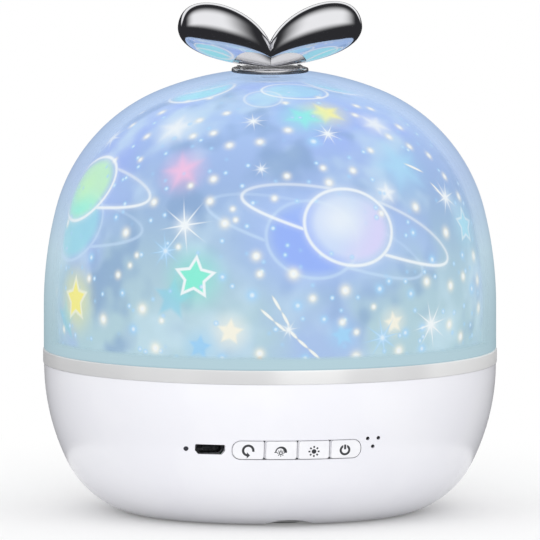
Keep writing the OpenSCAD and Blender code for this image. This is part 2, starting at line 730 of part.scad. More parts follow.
base_shell();
bottom_cover();
feet();
bottom_screws();
trim_ring();
deck();
deck_screws();
hub_clip();
dome_cover();
leaf_base();
left_leaf();
right_leaf();
dome_screw();
dome_washer();
turntable();
film_carrier();
star_film();
pole_ring();
gearmotor();
motor_screws();
motor_shaft();
drive_pinion();
led_board();
led_emitters();
heatsink();
control_board();
board_screws();
usb_socket();
switches();
switch_stem_1();
switch_stem_2();
switch_stem_3();
switch_stem_4();
button_rotate();
button_dimmer();
button_sun();
button_power();
charge_led();
microphone();
battery_cell();
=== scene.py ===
# %% [markdown]
# # A round star night light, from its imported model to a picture
# The frame holds every piece of the lamp at its true size and place, in metres: the white
# bowl with its buttons, the silver band, the milky cover, the printed film that turns
# inside it, the chrome leaves and all the inner works. This lesson keeps those sizes and
# gives the lamp its looks. The pieces that show get smooth meshes, modelled with the same
# operators that you would click by hand, and every piece gets a finish made of nodes.

# %% Load the frame
import math

import bpy
from mathutils import Matrix, Vector


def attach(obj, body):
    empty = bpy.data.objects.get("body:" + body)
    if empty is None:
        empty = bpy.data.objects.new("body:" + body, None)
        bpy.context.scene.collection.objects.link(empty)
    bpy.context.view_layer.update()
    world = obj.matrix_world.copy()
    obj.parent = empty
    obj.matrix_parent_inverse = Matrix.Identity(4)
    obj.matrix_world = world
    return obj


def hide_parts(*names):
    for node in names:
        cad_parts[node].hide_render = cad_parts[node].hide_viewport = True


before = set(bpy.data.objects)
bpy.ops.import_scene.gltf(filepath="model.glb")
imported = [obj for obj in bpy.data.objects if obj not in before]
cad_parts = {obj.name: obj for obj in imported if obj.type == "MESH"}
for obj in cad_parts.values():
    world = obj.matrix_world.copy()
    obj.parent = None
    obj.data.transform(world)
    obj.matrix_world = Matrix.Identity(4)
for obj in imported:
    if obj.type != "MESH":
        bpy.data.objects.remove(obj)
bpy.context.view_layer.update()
MM = 0.001

# %% [markdown]
# ## Helpers for the modelling
# An operator works on everything that is selected, so each new piece starts with a clean
# selection. Many pieces here start as one vertex that is pulled along an outline, as with
# the E key in edit mode. A plane that is merged to its middle gives that first vertex.

# %% Draw an outline with extrude
def deselect():
    if bpy.context.object and bpy.context.object.mode != "OBJECT":
        bpy.ops.object.mode_set(mode="OBJECT")
    bpy.ops.object.select_all(action="DESELECT")


def pick(*pieces):
    """Selects these pieces alone and makes the first one active."""
    deselect()
    for piece in pieces:
        piece.select_set(True)
    bpy.context.view_layer.objects.active = pieces[0]


def draw(name, points):
    """Pulls one vertex along points in mm and leaves the piece in edit mode."""
    deselect()
    bpy.ops.mesh.primitive_plane_add(size=0.01, location=(0, 0, 0))
    piece = bpy.context.active_object
    piece.name = piece.data.name = name
    bpy.ops.object.mode_set(mode="EDIT")
    bpy.ops.mesh.select_all(action="SELECT")
    bpy.ops.mesh.merge(type="CENTER")
    bpy.ops.transform.translate(value=Vector(points[0]) * MM)
    for a, b in zip(points, points[1:]):
        step = (Vector(b) - Vector(a)) * MM
        bpy.ops.mesh.extrude_region_move(TRANSFORM_OT_translate={"value": step})
    return piece


# %% [markdown]
# A moulded round part is a profile turned about its axis, which is what Spin does. A full
# turn leaves a seam and, at the axis, stacked vertices. Both are merged, and the normals
# are worked out again, because Spin can leave a shape inside out.

# %% Turn an outline with spin
MERGE = 0.001 * MM
ROUND = 200


def smooth(piece, degrees):
    """Smooths a piece over all edges that are less sharp than this."""
    pick(piece)
    bpy.ops.object.shade_smooth_by_angle(angle=math.radians(degrees))


def lathe(name, profile, steps=ROUND):
    """profile: (radius, height) in mm, closed by its first point if it is a wall."""
    piece = draw(name, [(r, 0, z) for r, z in profile])
    bpy.ops.mesh.select_all(action="SELECT")
    bpy.ops.mesh.spin(steps=steps, angle=math.tau, center=(0, 0, 0), axis=(0, 0, 1))
    bpy.ops.mesh.select_all(action="SELECT")
    bpy.ops.mesh.remove_doubles(threshold=MERGE)
    bpy.ops.mesh.normals_make_consistent(inside=False)
    bpy.ops.object.mode_set(mode="OBJECT")
    smooth(piece, 32)
    return piece


# %% [markdown]
# A flat part is an outline that is filled and pulled to its thickness: the F key, then E.
# Its faces go into modifiers such as Boolean and Bevel, which are applied at once, so that
# the mesh itself has the final shape.

# %% Extrude an outline into a prism
def prism(name, outline, y_from, y_to):
    """outline: (x, z) in mm, filled and pulled from y_from to y_to."""
    piece = draw(name, [(x, y_from, z) for x, z in outline + outline[:1]])
    bpy.ops.mesh.select_all(action="SELECT")
    bpy.ops.mesh.remove_doubles(threshold=MERGE)
    bpy.ops.mesh.select_all(action="SELECT")
    bpy.ops.mesh.edge_face_add()
    pull = (0, (y_to - y_from) * MM, 0)
    bpy.ops.mesh.extrude_region_move(TRANSFORM_OT_translate={"value": pull})
    bpy.ops.mesh.select_all(action="SELECT")
    bpy.ops.mesh.normals_make_consistent(inside=False)
    bpy.ops.object.mode_set(mode="OBJECT")
    return piece


def apply_modifier(piece, kind, **settings):
    pick(piece)
    modifier = piece.modifiers.new(kind.lower(), kind)
    for key, value in settings.items():
        setattr(modifier, key, value)
    bpy.ops.object.modifier_apply(modifier=modifier.name)


def combine(piece, tool, operation):
    """A Boolean of two closed pieces, which uses the second one up."""
    apply_modifier(piece, "BOOLEAN", object=tool, operation=operation, solver="EXACT")
    bpy.data.objects.remove(tool)


def flipped_copy(piece, name, flips):
    """A copy with its own mesh, mirrored where a flip is -1."""
    pick(piece)
    bpy.ops.object.duplicate()
    other = bpy.context.active_object
    other.name = other.data.name = name
    bpy.ops.object.mode_set(mode="EDIT")
    bpy.ops.mesh.select_all(action="SELECT")
    bpy.ops.transform.resize(value=flips, center_override=(0, 0, 0))
    bpy.ops.mesh.normals_make_consistent(inside=False)
    bpy.ops.object.mode_set(mode="OBJECT")
    return other


def arc(centre, radius, start, end, steps):
    """Points of an arc in degrees, as (x, z) in mm."""
    turn = [math.radians(start + (end - start) * i / steps) for i in range(steps + 1)]
    return [(centre[0] + radius * math.cos(a), centre[1] + radius * math.sin(a))
            for a in turn]


CORNERS = ((1, 1, 0), (-1, 1, 90), (-1, -1, 180), (1, -1, 270))
print("helpers for modelling are ready; a round piece has", ROUND, "steps")

# %% [markdown]
# ## Helpers for the finishes
# A finish is a node tree. `put` adds one node, sets its numbers and links its inputs in
# one line. Colours are written as they are picked from a picture, 0 to 255, and turned
# into the linear values that a shader wants.

# %% Put nodes in a tree
def tint(r, g, b):
    """A linear colour from the 0 to 255 values that a picture shows."""
    line = [v / 255 for v in (r, g, b)]
    return tuple(v / 12.92 if v <= 0.04045 else ((v + 0.055) / 1.055) ** 2.4
                 for v in line) + (1,)


def put(tree, kind, inputs=None, **props):
    """Adds a node; an input gets a number, or a link if it is given a socket."""
    node = tree.nodes.new("ShaderNode" + kind)
    for key, value in props.items():
        setattr(node, key, value)
    for key, value in (inputs or {}).items():
        if isinstance(value, bpy.types.NodeSocket):
            tree.links.new(value, node.inputs[key])
        else:
            node.inputs[key].default_value = value
    return node


def maths(tree, operation, *values):
    return put(tree, "Math", dict(enumerate(values)), operation=operation).outputs[0]


def fade(tree, value, low, high, start=0.0, end=1.0):
    """Smooth step from start to end while value goes from low to high."""
    step = put(tree, "MapRange", {"Value": value, "From Min": low, "From Max": high,
                                  "To Min": start, "To Max": end},
               interpolation_type="SMOOTHSTEP", clamp=False)
    return step.outputs["Result"]


def along(tree, vector, direction):
    """The dot product: how far a vector goes in a direction."""
    return put(tree, "VectorMath", {0: vector, 1: direction},
               operation="DOT_PRODUCT").outputs["Value"]


def length(tree, vector):
    return put(tree, "VectorMath", {0: vector}, operation="LENGTH").outputs["Value"]


print("a middle grey of 128 is", round(tint(128, 128, 128)[0], 3), "in linear values")

# %% [markdown]
# Most finishes here are made of the same few parts. Noise makes small differences, in
# colour and gloss or as a grain in the surface. Mix nodes lay one colour or one shader
# over another. A new tree starts from the object's own coordinates, so a pattern keeps
# its true size.

# %% Parts of a finish
def noise(tree, place, scale, detail=2.0, **more):
    """Soft random values from 0 to 1; W picks another pattern of the same kind."""
    return put(tree, "TexNoise", {"Vector": place, "Scale": scale, "Detail": detail, **more},
               noise_dimensions="4D" if "W" in more else "3D").outputs["Fac"]


def grain_bump(tree, height, strength):
    """The normal of a surface with a grain 0.02 mm deep."""
    return put(tree, "Bump", {"Height": height, "Strength": strength,
                              "Distance": 0.00002}).outputs[0]


def blend(tree, factor, under, over):
    # In a Mix node for colours the inputs 6 and 7 are its two colours, A and B.
    return put(tree, "Mix", {"Factor": factor, 6: under, 7: over},
               data_type="RGBA").outputs[2]


def mix_shader(tree, factor, under, over):
    return put(tree, "MixShader", {0: factor, 1: under.outputs[0], 2: over.outputs[0]})


def ramp(tree, value, first, last, *between):
    """A colour ramp from first to last, with (position, colour) stops between them."""
    node = put(tree, "ValToRGB", {0: value})
    stops = node.color_ramp.elements
    stops[0].position, stops[0].color = 0.0, first
    stops[1].position, stops[1].color = 1.0, last
    for at, colour in between:
        stops.new(at).color = colour
    return node


def new_finish(name):
    """A material with its tree, the place in object coordinates and the surface input."""
    finish = bpy.data.materials.new(name)
    finish.use_nodes = True
    tree = finish.node_tree
    tree.nodes.clear()
    place = put(tree, "TexCoord").outputs["Object"]
    return finish, tree, place, put(tree, "OutputMaterial").inputs["Surface"]


print("helpers for finishes are ready")

# %% [markdown]
# ## Moulded plastic
# The bowl and the buttons are glossy white ABS. A real moulding isn't quite flat: it has
# a very fine orange peel, and its gloss changes a little from place to place. Two noises
# at sizes of a few tenths of a millimetre and a few centimetres give both.

# %% A finish for plastics
def plastic(name, colour, shade, roughness, peel, grain=2200.0):
    """colour and shade drift into each other; peel is the strength of the orange peel."""
    finish, tree, place, surface = new_finish(name)
    cloud = noise(tree, place, 38.0, 3.0)
    fine = noise(tree, place, grain)
    body = blend(tree, fade(tree, cloud, 0.35, 0.65), colour, shade)
    gloss = fade(tree, cloud, 0.3, 0.7, roughness * 0.85, roughness * 1.2)
    skin = put(tree, "BsdfPrincipled", {"Base Color": body, "Roughness": gloss,
                                        "Normal": grain_bump(tree, fine, peel)})
    tree.links.new(skin.outputs[0], surface)
    return finish


white_shell = plastic("white_shell", tint(247, 247, 252), tint(244, 244, 250), 0.22, 0.12)
white_inner = plastic("white_inner", tint(232, 232, 232), tint(226, 226, 228), 0.45, 0.4)
print("plastics:", white_shell.name, white_inner.name)

# %% [markdown]
# ## The bowl
# The bowl is one moulding: a long side arc that runs into a tighter corner arc, a rim to
# stand near the table, a ledge for the bottom cover and a wall of 2.2 mm. The openings in
# its front are cut afterwards, as a mould's cores would leave them. Booleans suit this,
# because the cutters are simple prisms and the surface round them keeps its curve.

# %% Turn the bowl
SIDE_AT, SIDE_R = (0.82, 42.7), 63.9
CORNER_AT, CORNER_R = (34.08, 26.04), 26.7
SIDE_TURN, WALL = 26.6, 2.2
RIM_R, RIM_Z, LEDGE_R, LEDGE_Z, FLOOR_Z = 38.2, 0.5, 30.0, 2.6, 4.4


def bowl_radius(z, inward=0.0):
    """Radius of the bowl at a height, that far under its surface."""
    if z > CORNER_AT[1] - (CORNER_R - inward) * math.sin(math.radians(SIDE_TURN)):
        return SIDE_AT[0] + math.sqrt((SIDE_R - inward) ** 2 - (SIDE_AT[1] - z) ** 2)
    return CORNER_AT[0] + math.sqrt((CORNER_R - inward) ** 2 - (CORNER_AT[1] - z) ** 2)


def bowl_line(inward, low_z):
    """Points of the bowl's outline from the band down to a height."""
    low = math.degrees(math.asin((CORNER_AT[1] - low_z) / (CORNER_R - inward)))
    return (arc(SIDE_AT, SIDE_R - inward, 0, -SIDE_TURN, 16)
            + arc(CORNER_AT, CORNER_R - inward, -SIDE_TURN, -low, 18)[1:])


rim = [(RIM_R, RIM_Z), (RIM_R, LEDGE_Z), (LEDGE_R, LEDGE_Z), (LEDGE_R, FLOOR_Z)]
bowl_profile = bowl_line(0, RIM_Z) + rim + bowl_line(WALL, FLOOR_Z)[::-1]
bowl = lathe("bowl", bowl_profile + bowl_profile[:1])
print("bowl faces:", len(bowl.data.polygons))

# %% [markdown]
# The slot for the buttons, the mouth of the charging socket, three microphone holes, the
# hole of the charge light and the arched notch in the rim are prisms, joined into one tool
# and taken away in one go. The notch goes through the front wall only.

# %% Cut the openings in the bowl
PANEL_Z, PITCH = 23.8, 9.33
BUTTON_W, SLOT_PLAY, SLOT_H, SLOT_R = 8.6, 0.5, 5.7, 2.55
SOCKET_X, ARCH_R, ARCH_TOP = -24.4, 16.288, 2.1
OUTSIDE = -66
slot_x, slot_z = (3 * PITCH + BUTTON_W + SLOT_PLAY) / 2 - SLOT_R, SLOT_H / 2 - SLOT_R
button_slot = []
for sx, sz, start in CORNERS:
    button_slot += arc((sx * slot_x, PANEL_Z + sz * slot_z), SLOT_R, start, start + 90, 8)
socket_mouth = [(SOCKET_X + x, PANEL_Z + z) for x, z in (
    (-3.2, -1.45), (3.2, -1.45), (4.1, -0.35), (4.1, 1.2), (3.85, 1.45), (-3.85, 1.45),
    (-4.1, 1.2), (-4.1, -0.35))]
arch = arc((0, ARCH_TOP - ARCH_R), ARCH_R, 150, 30, 40)
cutters = [prism("cut_slot", button_slot, OUTSIDE, -48),
           prism("cut_socket", socket_mouth, OUTSIDE, -48),
           prism("cut_arch", arch, -48, -34)]
for x, z, r in ((20.4, 26.6, 0.55), (23.6, 26.6, 0.55), (22.0, 24.2, 0.55),
                (-30.9, 23.8, 0.7)):
    cutters.append(prism("cut_hole", arc((x, z), r, 0, 345, 23), OUTSIDE, -50))
pick(*cutters)
bpy.ops.object.join()
combine(bowl, cutters[0], "DIFFERENCE")
smooth(bowl, 32)
bowl.data.materials.clear()
bowl.data.materials.append(white_shell)
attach(bowl, "base")
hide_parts("base_shell")
print("bowl faces after the cuts:", len(bowl.data.polygons))

# %% [markdown]
# ## The silver band
# The band is a plastic ring with a silver lacquer and a satin gloss. Turned metal and
# lacquer both show fine lines that run round the part, so the noise that drives the
# roughness is stretched along the turn: it reads the height with a large scale and the
# plan with a small one. The same trick serves for all metals. The lacquer is mostly pale
# paint with a little metal in it. Its colour also gets soft upright streaks, lighter and
# darker round the ring: a painted reflection that stands in for the sheen of the satin.

# %% A finish for metals
def streaks(tree, place, stretch, detail=3.0):
    """A noise that is drawn out where a number of stretch is small."""
    lines = put(tree, "Mapping", {"Vector": place, "Scale": stretch}).outputs[0]
    return noise(tree, lines, 1.0, detail)


def metal(name, colour, roughness, stretch, wobble=0.06, relief=0.05):
    """wobble is how far the roughness drifts, and relief how deep the lines look."""
    finish, tree, place, surface = new_finish(name)
    hair = streaks(tree, place, stretch)
    rough = fade(tree, hair, 0.3, 0.7, roughness - wobble, roughness + wobble)
    skin = put(tree, "BsdfPrincipled", {"Base Color": colour, "Metallic": 1.0,
                                        "Roughness": rough,
                                        "Normal": grain_bump(tree, hair, relief)})
    tree.links.new(skin.outputs[0], surface)
    return finish


# %% The band's lacquer, with painted streaks of reflection
satin_silver, tree, place, surface = new_finish("satin_silver")
# Soft upright streaks round the ring are painted into the lacquer's colour: a painted
# reflection for the sheen of the satin.
sheen_streaks = streaks(tree, place, (26, 26, 4), 2.0)
hair = streaks(tree, place, (60, 60, 5000))
lacquer_and_sheen = blend(tree, fade(tree, sheen_streaks, 0.36, 0.64), tint(222, 222, 223),
                tint(242, 242, 242))
rough = fade(tree, hair, 0.3, 0.7, 0.36, 0.48)
skin = put(tree, "BsdfPrincipled", {"Base Color": lacquer_and_sheen, "Metallic": 0.12,
                                    "Roughness": rough,
                                    "Normal": grain_bump(tree, hair, 0.04)})
tree.links.new(skin.outputs[0], surface)
print("finish of the band:", satin_silver.name, len(tree.nodes), "nodes")

# %% Turn the band
BAND_R, BAND_Z, BAND_TOP = 65.0, 42.7, 46.8
LIP_R, BORE_R, LIP_TOP = 62.62, 64.1, 43.5
LOW_EDGE, TOP_EDGE = 0.45, 0.4
band_profile = ([(LIP_R, BAND_Z)]
                + arc((BAND_R - LOW_EDGE, BAND_Z + LOW_EDGE), LOW_EDGE, -90, 0, 5)
                + arc((BAND_R - TOP_EDGE, BAND_TOP - TOP_EDGE), TOP_EDGE, 0, 90, 5)
                + [(BORE_R, BAND_TOP), (BORE_R, LIP_TOP), (LIP_R, LIP_TOP)])
band = lathe("silver_band", band_profile + band_profile[:1])
band.data.materials.append(satin_silver)
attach(band, "base")
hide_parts("trim_ring")
print("band faces:", len(band.data.polygons))

# %% [markdown]
# ## The dome's curve
# The cover, the film and the clear dome under it all follow one curve of three arcs: side,
# shoulder and crown. One function gives that curve moved inward by any distance, so the
# shells nest with the same gap everywhere.

# %% One curve for all the shells
DOME_ARCS = (  # centre, radius and the height up to which an arc is used
    ((-47.98, 59.05), 112.75, 86.63),
    ((13.135, 74.469), 49.72, 120.47),
    ((0.0, 42.459), 84.32, 999))
LEAN, CROWN = 14.16, 67.69


def dome_line(inward, pole):
    """Points from the widest place up to the radius of the hole at the pole."""
    (c1, r1, _), (c2, r2, _), (c3, r3, _) = DOME_ARCS
    end = math.degrees(math.acos(pole / (r3 - inward)))
    return (arc(c1, r1 - inward, 0, LEAN, 10) + arc(c2, r2 - inward, LEAN, CROWN, 22)[1:]
            + arc(c3, r3 - inward, CROWN, end, 12)[1:])


def dome_point(z, inward):
    """Radius and outward lean of the curve at a height, in mm and radians."""
    for centre, radius, top in DOME_ARCS:
        if z <= top:
            lean = math.asin(max(-1.0, (z - centre[1]) / (radius - inward)))
            return centre[0] + (radius - inward) * math.cos(lean), lean


print("widest radius of the dome:", round(dome_point(59.05, 0)[0], 2), "mm")

# %% [markdown]
# ## The milky cover
# The cover is a thin shell of opal plastic. Seen straight on, it lets the glow of the
# film through with a little haze. Seen edge on, the light passes through much more
# plastic, so the film fades and the cover's own soft glow takes over, right up to the
# outline. The skirt near the band is as dense, because the film ends a little above it.
# Its rim is a little smaller, so that it slips into the band.

# %% Turn the cover
COVER_WALL, SCREW_R, BOSS_R, BOSS_Z = 1.7, 2.7, 5.5, 124.58
cover_foot = [(63.07, 44.6), (63.6, 44.6), (63.8, 44.9), (63.8, 47.0), (64.57, 47.0),
              (64.77, 47.2)]
cover_profile = (cover_foot + dome_line(0, SCREW_R) + [(SCREW_R, BOSS_Z), (BOSS_R, BOSS_Z)]
                 + dome_line(COVER_WALL, BOSS_R)[::-1])
cover = lathe("milky_cover", cover_profile + cover_profile[:1])
print("cover faces:", len(cover.data.polygons))

# %% [markdown]
# The haze is a share, from clear to opal. It grows with Facing, which Layer Weight works
# out from the angle of view: 0 straight on, 1 at the outline. A second, steep step lets it
# grow to nearly opal just where the eye would look past the film, between the two shells.
# That place comes a little later near the crown. The opal itself is a Principled surface
# mixed with a soft glow, because the lamp inside lights the cover up.

# %% The haze of the cover
finish, tree, place, surface = new_finish("opal_cover")
cloud = noise(tree, place, 45.0, 4.0)
relief = grain_bump(tree, noise(tree, place, 1500.0), 0.1)
height = along(tree, place, (0, 0, 1 / MM))
edge = put(tree, "LayerWeight", {"Blend": 0.5}).outputs["Facing"]
edge = maths(tree, "SUBTRACT", edge, fade(tree, height, 104, 120, 0.0, 0.04))
haze = maths(tree, "ADD", fade(tree, edge, 0.56, 0.8, 0.0, 0.28),
             fade(tree, edge, 0.7, 0.77, 0.0, 0.6))
haze = maths(tree, "ADD", haze, fade(tree, cloud, 0.3, 0.7, 0.03, 0.05))
haze = maths(tree, "MAXIMUM", haze, fade(tree, height, 51.0, 49.0))

# %% The glow and the gloss of the cover
LIT_FROM, LIT_TO = 46, 128
tone = ramp(tree, fade(tree, height, LIT_FROM, LIT_TO), tint(186, 214, 224),
            tint(190, 216, 252), (0.3, tint(204, 230, 244)), (0.7, tint(192, 214, 248)))
milk = put(tree, "BsdfPrincipled", {"Base Color": tone.outputs[0], "Roughness": 0.35,
                                    "Normal": relief})
lit = put(tree, "Emission", {"Color": tone.outputs[0], "Strength": 0.92})
opal = mix_shader(tree, 0.75, milk, lit)
clear = put(tree, "BsdfTransparent", {"Color": (1, 1, 1, 1)})
body = mix_shader(tree, haze, clear, opal)
shine = put(tree, "BsdfGlossy", {"Color": (1, 1, 1, 1), "Roughness": 0.2,
                                 "Normal": relief})
rim_gloss = put(tree, "Fresnel", {"IOR": 1.3, "Normal": relief}).outputs[0]
inner_side = put(tree, "NewGeometry").outputs["Backfacing"]
rim_gloss = maths(tree, "MULTIPLY", rim_gloss,
                  fade(tree, inner_side, 0.0, 1.0, 0.28, 0.0))
both = mix_shader(tree, rim_gloss, body, shine)
tree.links.new(both.outputs[0], surface)
finish.cycles.emission_sampling = "NONE"
cover.data.materials.append(finish)
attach(cover, "cover")
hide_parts("dome_cover")
print("finish of the cover:", len(tree.nodes), "nodes")

# %% [markdown]
# ## The printed film
# The picture on the dome is a film with planets, stars and dots, lit from inside. It is
# drawn with nodes. Each motif gets a small frame of its own on the film: a Mapping node
# moves the point into it, turned so that X runs across, Y runs up and the size of the
# motif is 1. In that frame a disc is just a distance, and a star is a distance to the
# edge of a wedge that is folded round the middle with Ping-Pong.

# %% Frames on the film
FILM = 2.6


def on_film(azimuth, height):
    """The film's point at an angle round the lamp and a height, in mm."""
    radius, a = dome_point(height, FILM)[0], math.radians(azimuth)
    return Vector((radius * math.sin(a), -radius * math.cos(a), height))


def in_frame(tree, place, azimuth, height, size, turn=0.0):
    """The place, seen from a motif of that half size and turn."""
    lean, a = dome_point(height, FILM)[1], math.radians(azimuth)
    outward = Vector((math.sin(a) * math.cos(lean), -math.cos(a) * math.cos(lean),
                      math.sin(lean)))
    across = Vector((math.cos(a), math.sin(a), 0))
    up = outward.cross(across)
    t = math.radians(turn)
    x_axis = across * math.cos(t) + up * math.sin(t)
    y_axis = up * math.cos(t) - across * math.sin(t)
    rotation = Matrix((x_axis, y_axis, outward)).transposed().to_euler("XYZ")
    wide, high = size if isinstance(size, tuple) else (size, size)
    node = put(tree, "Mapping", {"Vector": place, "Location": on_film(azimuth, height),
                                 "Rotation": rotation,
                                 "Scale": (wide, high, 1.5 * (wide + high))},
               vector_type="TEXTURE")
    return node.outputs[0]


def line_off(tree, vector, size):
    """Distance in mm from the ellipse that fills a motif's frame: what is left of the
    radius, divided by how fast it changes per millimetre."""
    r = length(tree, vector)
    slope = put(tree, "VectorMath", {0: vector, 1: (1 / size[0], 1 / size[1], 0.0)},
                operation="MULTIPLY").outputs[0]
    off = maths(tree, "MULTIPLY", maths(tree, "ABSOLUTE", maths(tree, "SUBTRACT", r, 1.0)), r)
    return maths(tree, "DIVIDE", off, length(tree, slope))


# %% [markdown]
# The star is a node group of its own, because it is used many times. `points` says how
# many rays it has and `waist` how far in its notches lie; the function turns them into
# the two angles that the group takes. The group's output is below zero inside the star
# and above zero outside, so one group gives fill, outline and halo.

# %% The star group
star_group = bpy.data.node_groups.new("star_edge", "ShaderNodeTree")
for name, way, kind in (("Vector", "INPUT", "Vector"), ("Half", "INPUT", "Float"),
                        ("Slope", "INPUT", "Float"), ("Edge", "OUTPUT", "Float")):
    star_group.interface.new_socket(name, in_out=way, socket_type="NodeSocket" + kind)
star_in = star_group.nodes.new("NodeGroupInput").outputs
star_out = star_group.nodes.new("NodeGroupOutput").inputs
angle = maths(star_group, "ARCTAN2", along(star_group, star_in["Vector"], (1, 0, 0)),
              along(star_group, star_in["Vector"], (0, 1, 0)))
fold = maths(star_group, "PINGPONG", angle, star_in["Half"])
side = maths(star_group, "COSINE", maths(star_group, "SUBTRACT", fold, star_in["Slope"]))
reach = maths(star_group, "MULTIPLY", length(star_group, star_in["Vector"]), side)
ray_at = maths(star_group, "COSINE", star_in["Slope"])
star_group.links.new(maths(star_group, "SUBTRACT", reach, ray_at), star_out["Edge"])


def star(tree, vector, points=5, waist=0.5):
    half = math.pi / points
    slope = math.atan2(1 - waist * math.cos(half), waist * math.sin(half))
    node = tree.nodes.new("ShaderNodeGroup")
    node.node_tree = star_group
    tree.links.new(vector, node.inputs["Vector"])
    node.inputs["Half"].default_value = half
    node.inputs["Slope"].default_value = slope
    return node.outputs["Edge"]


print("nodes in the star group:", len(star_group.nodes))


# %% [markdown]
# The print shows ringed planets, stars, sparkles, short strokes and dots. A pixel picture
# could hold them too, but drawn with nodes they stay sharp at any size and can be moved
# by a number. So their places and sizes are set out in lists, in degrees round the lamp
# from the buttons, and millimetres above the table. The lamp's bulb also throws a second,
# bluish image of the larger motifs a little round and below: the ghosts.

# %% Where the planets and stars are
WHITE, CREAM, SKY = tint(248, 253, 255), tint(255, 250, 232), tint(170, 218, 255)
STARS = (  # azimuth, height, size, turn, fill, strength, outline, blur
    (-27.7, 72.6, 5.8, -3, tint(136, 246, 218), 0.92, 1.0, 0.06),
    (-70.5, 63.5, 6.2, 4, tint(255, 246, 140), 0.95, 0.5, 0.12),
    (20.9, 117.0, 4.8, 10, tint(255, 252, 164), 0.95, 0.0, 0.25),
    (8.5, 116.2, 4.8, 30, tint(150, 244, 238), 0.9, 0.0, 0.3),
    (-36.1, 101.9, 4.8, 20, tint(250, 200, 232), 0.9, 0.0, 0.4),
    (-17.8, 57.5, 3.7, -6, CREAM, 0.95, 0.0, 0.14),
    (27.1, 59.2, 3.0, 8, CREAM, 0.9, 0.0, 0.2),
    (12.1, 56.4, 3.2, 14, tint(166, 218, 255), 0.85, 0.0, 0.15),
    (-26.1, 53.0, 3.4, -8, tint(158, 212, 252), 0.85, 0.0, 0.14),
    (-48.6, 112.7, 4.4, 12, WHITE, 0.85, 0.0, 0.45),
    (41.4, 113.4, 3.6, 20, WHITE, 0.85, 0.0, 0.4),
    (38.9, 102.2, 6.4, 8, tint(176, 224, 252), 0.85, 0.0, 0.5),
    (29.6, 95.5, 2.6, -10, WHITE, 0.9, 0.0, 0.35),
    (62.0, 84.0, 5.0, -8, tint(180, 232, 250), 0.8, 0.5, 0.2),
    (-98.0, 78.0, 5.4, 14, tint(236, 206, 248), 0.85, 0.6, 0.12),
    (-94.0, 58.0, 3.4, -14, CREAM, 0.9, 0.0, 0.2),
)
GREEN, TURQUOISE = tint(204, 255, 196), tint(150, 246, 232)
AQUA, LILAC = tint(168, 246, 255), tint(226, 214, 255)
PLANETS = (  # azimuth, height, half sizes, turn, fill, ring (across, up, half sizes, turn)
    (15.5, 86.8, (13.4, 11.0), -14, tint(222, 236, 255), (2.9, 1.6, 33.0, 7.4, -19)),
    (-76.5, 94.8, (13.8, 9.6), 20, GREEN, (0.2, 0.6, 29.5, 6.6, 4)),
    (-75.0, 121.4, (10.0, 9.5), 0, AQUA, None),
    (-101.0, 122.2, (9.5, 9.0), 0, AQUA, None),
    (79.0, 122.2, (9.5, 9.0), 0, AQUA, None),
)
GHOSTS = (  # azimuth, height and fill of the second image of the first two planets
    (4.6, 83.6, tint(146, 176, 255)), (-75.0, 84.0, tint(160, 226, 240)))
LOOPS = (  # azimuth, height, half sizes, turn and strength of pale rings at the crown
    (16.0, 122.2, (9.5, 7.0), -14, 0.8), (-12.0, 120.6, (5.4, 6.0), 10, 0.4))
SPARKLES = (  # azimuth, height, size, bluish or not
    (-31.7, 87.1, 4.3, 0), (-36.8, 79.7, 3.2, 1), (40.2, 57.7, 3.9, 0), (23.7, 55.0, 3.6, 1),
    (-14.7, 115.2, 2.4, 0), (15.8, 111.8, 2.6, 0), (54.6, 92.5, 3.2, 0), (-84, 108, 3.4, 0),
    (-10.1, 102.9, 1.6, 0), (-2.4, 58.2, 1.8, 0))
STROKES = (  # azimuth and height of both ends
    (-6.5, 67.4, -4.6, 63.9), (-4.0, 62.8, -2.4, 59.6), (-9.4, 63.7, -6.5, 60.9),
    (-5.8, 60.2, -3.4, 58.0), (-1.8, 57.4, -0.4, 55.9), (0.2, 55.2, 2.4, 53.1),
    (3.1, 52.4, 5.7, 49.9), (50, 97, 54, 92), (42, 103, 48, 100))
print("motifs:", len(PLANETS) + len(STARS) + len(SPARKLES) + len(STROKES))

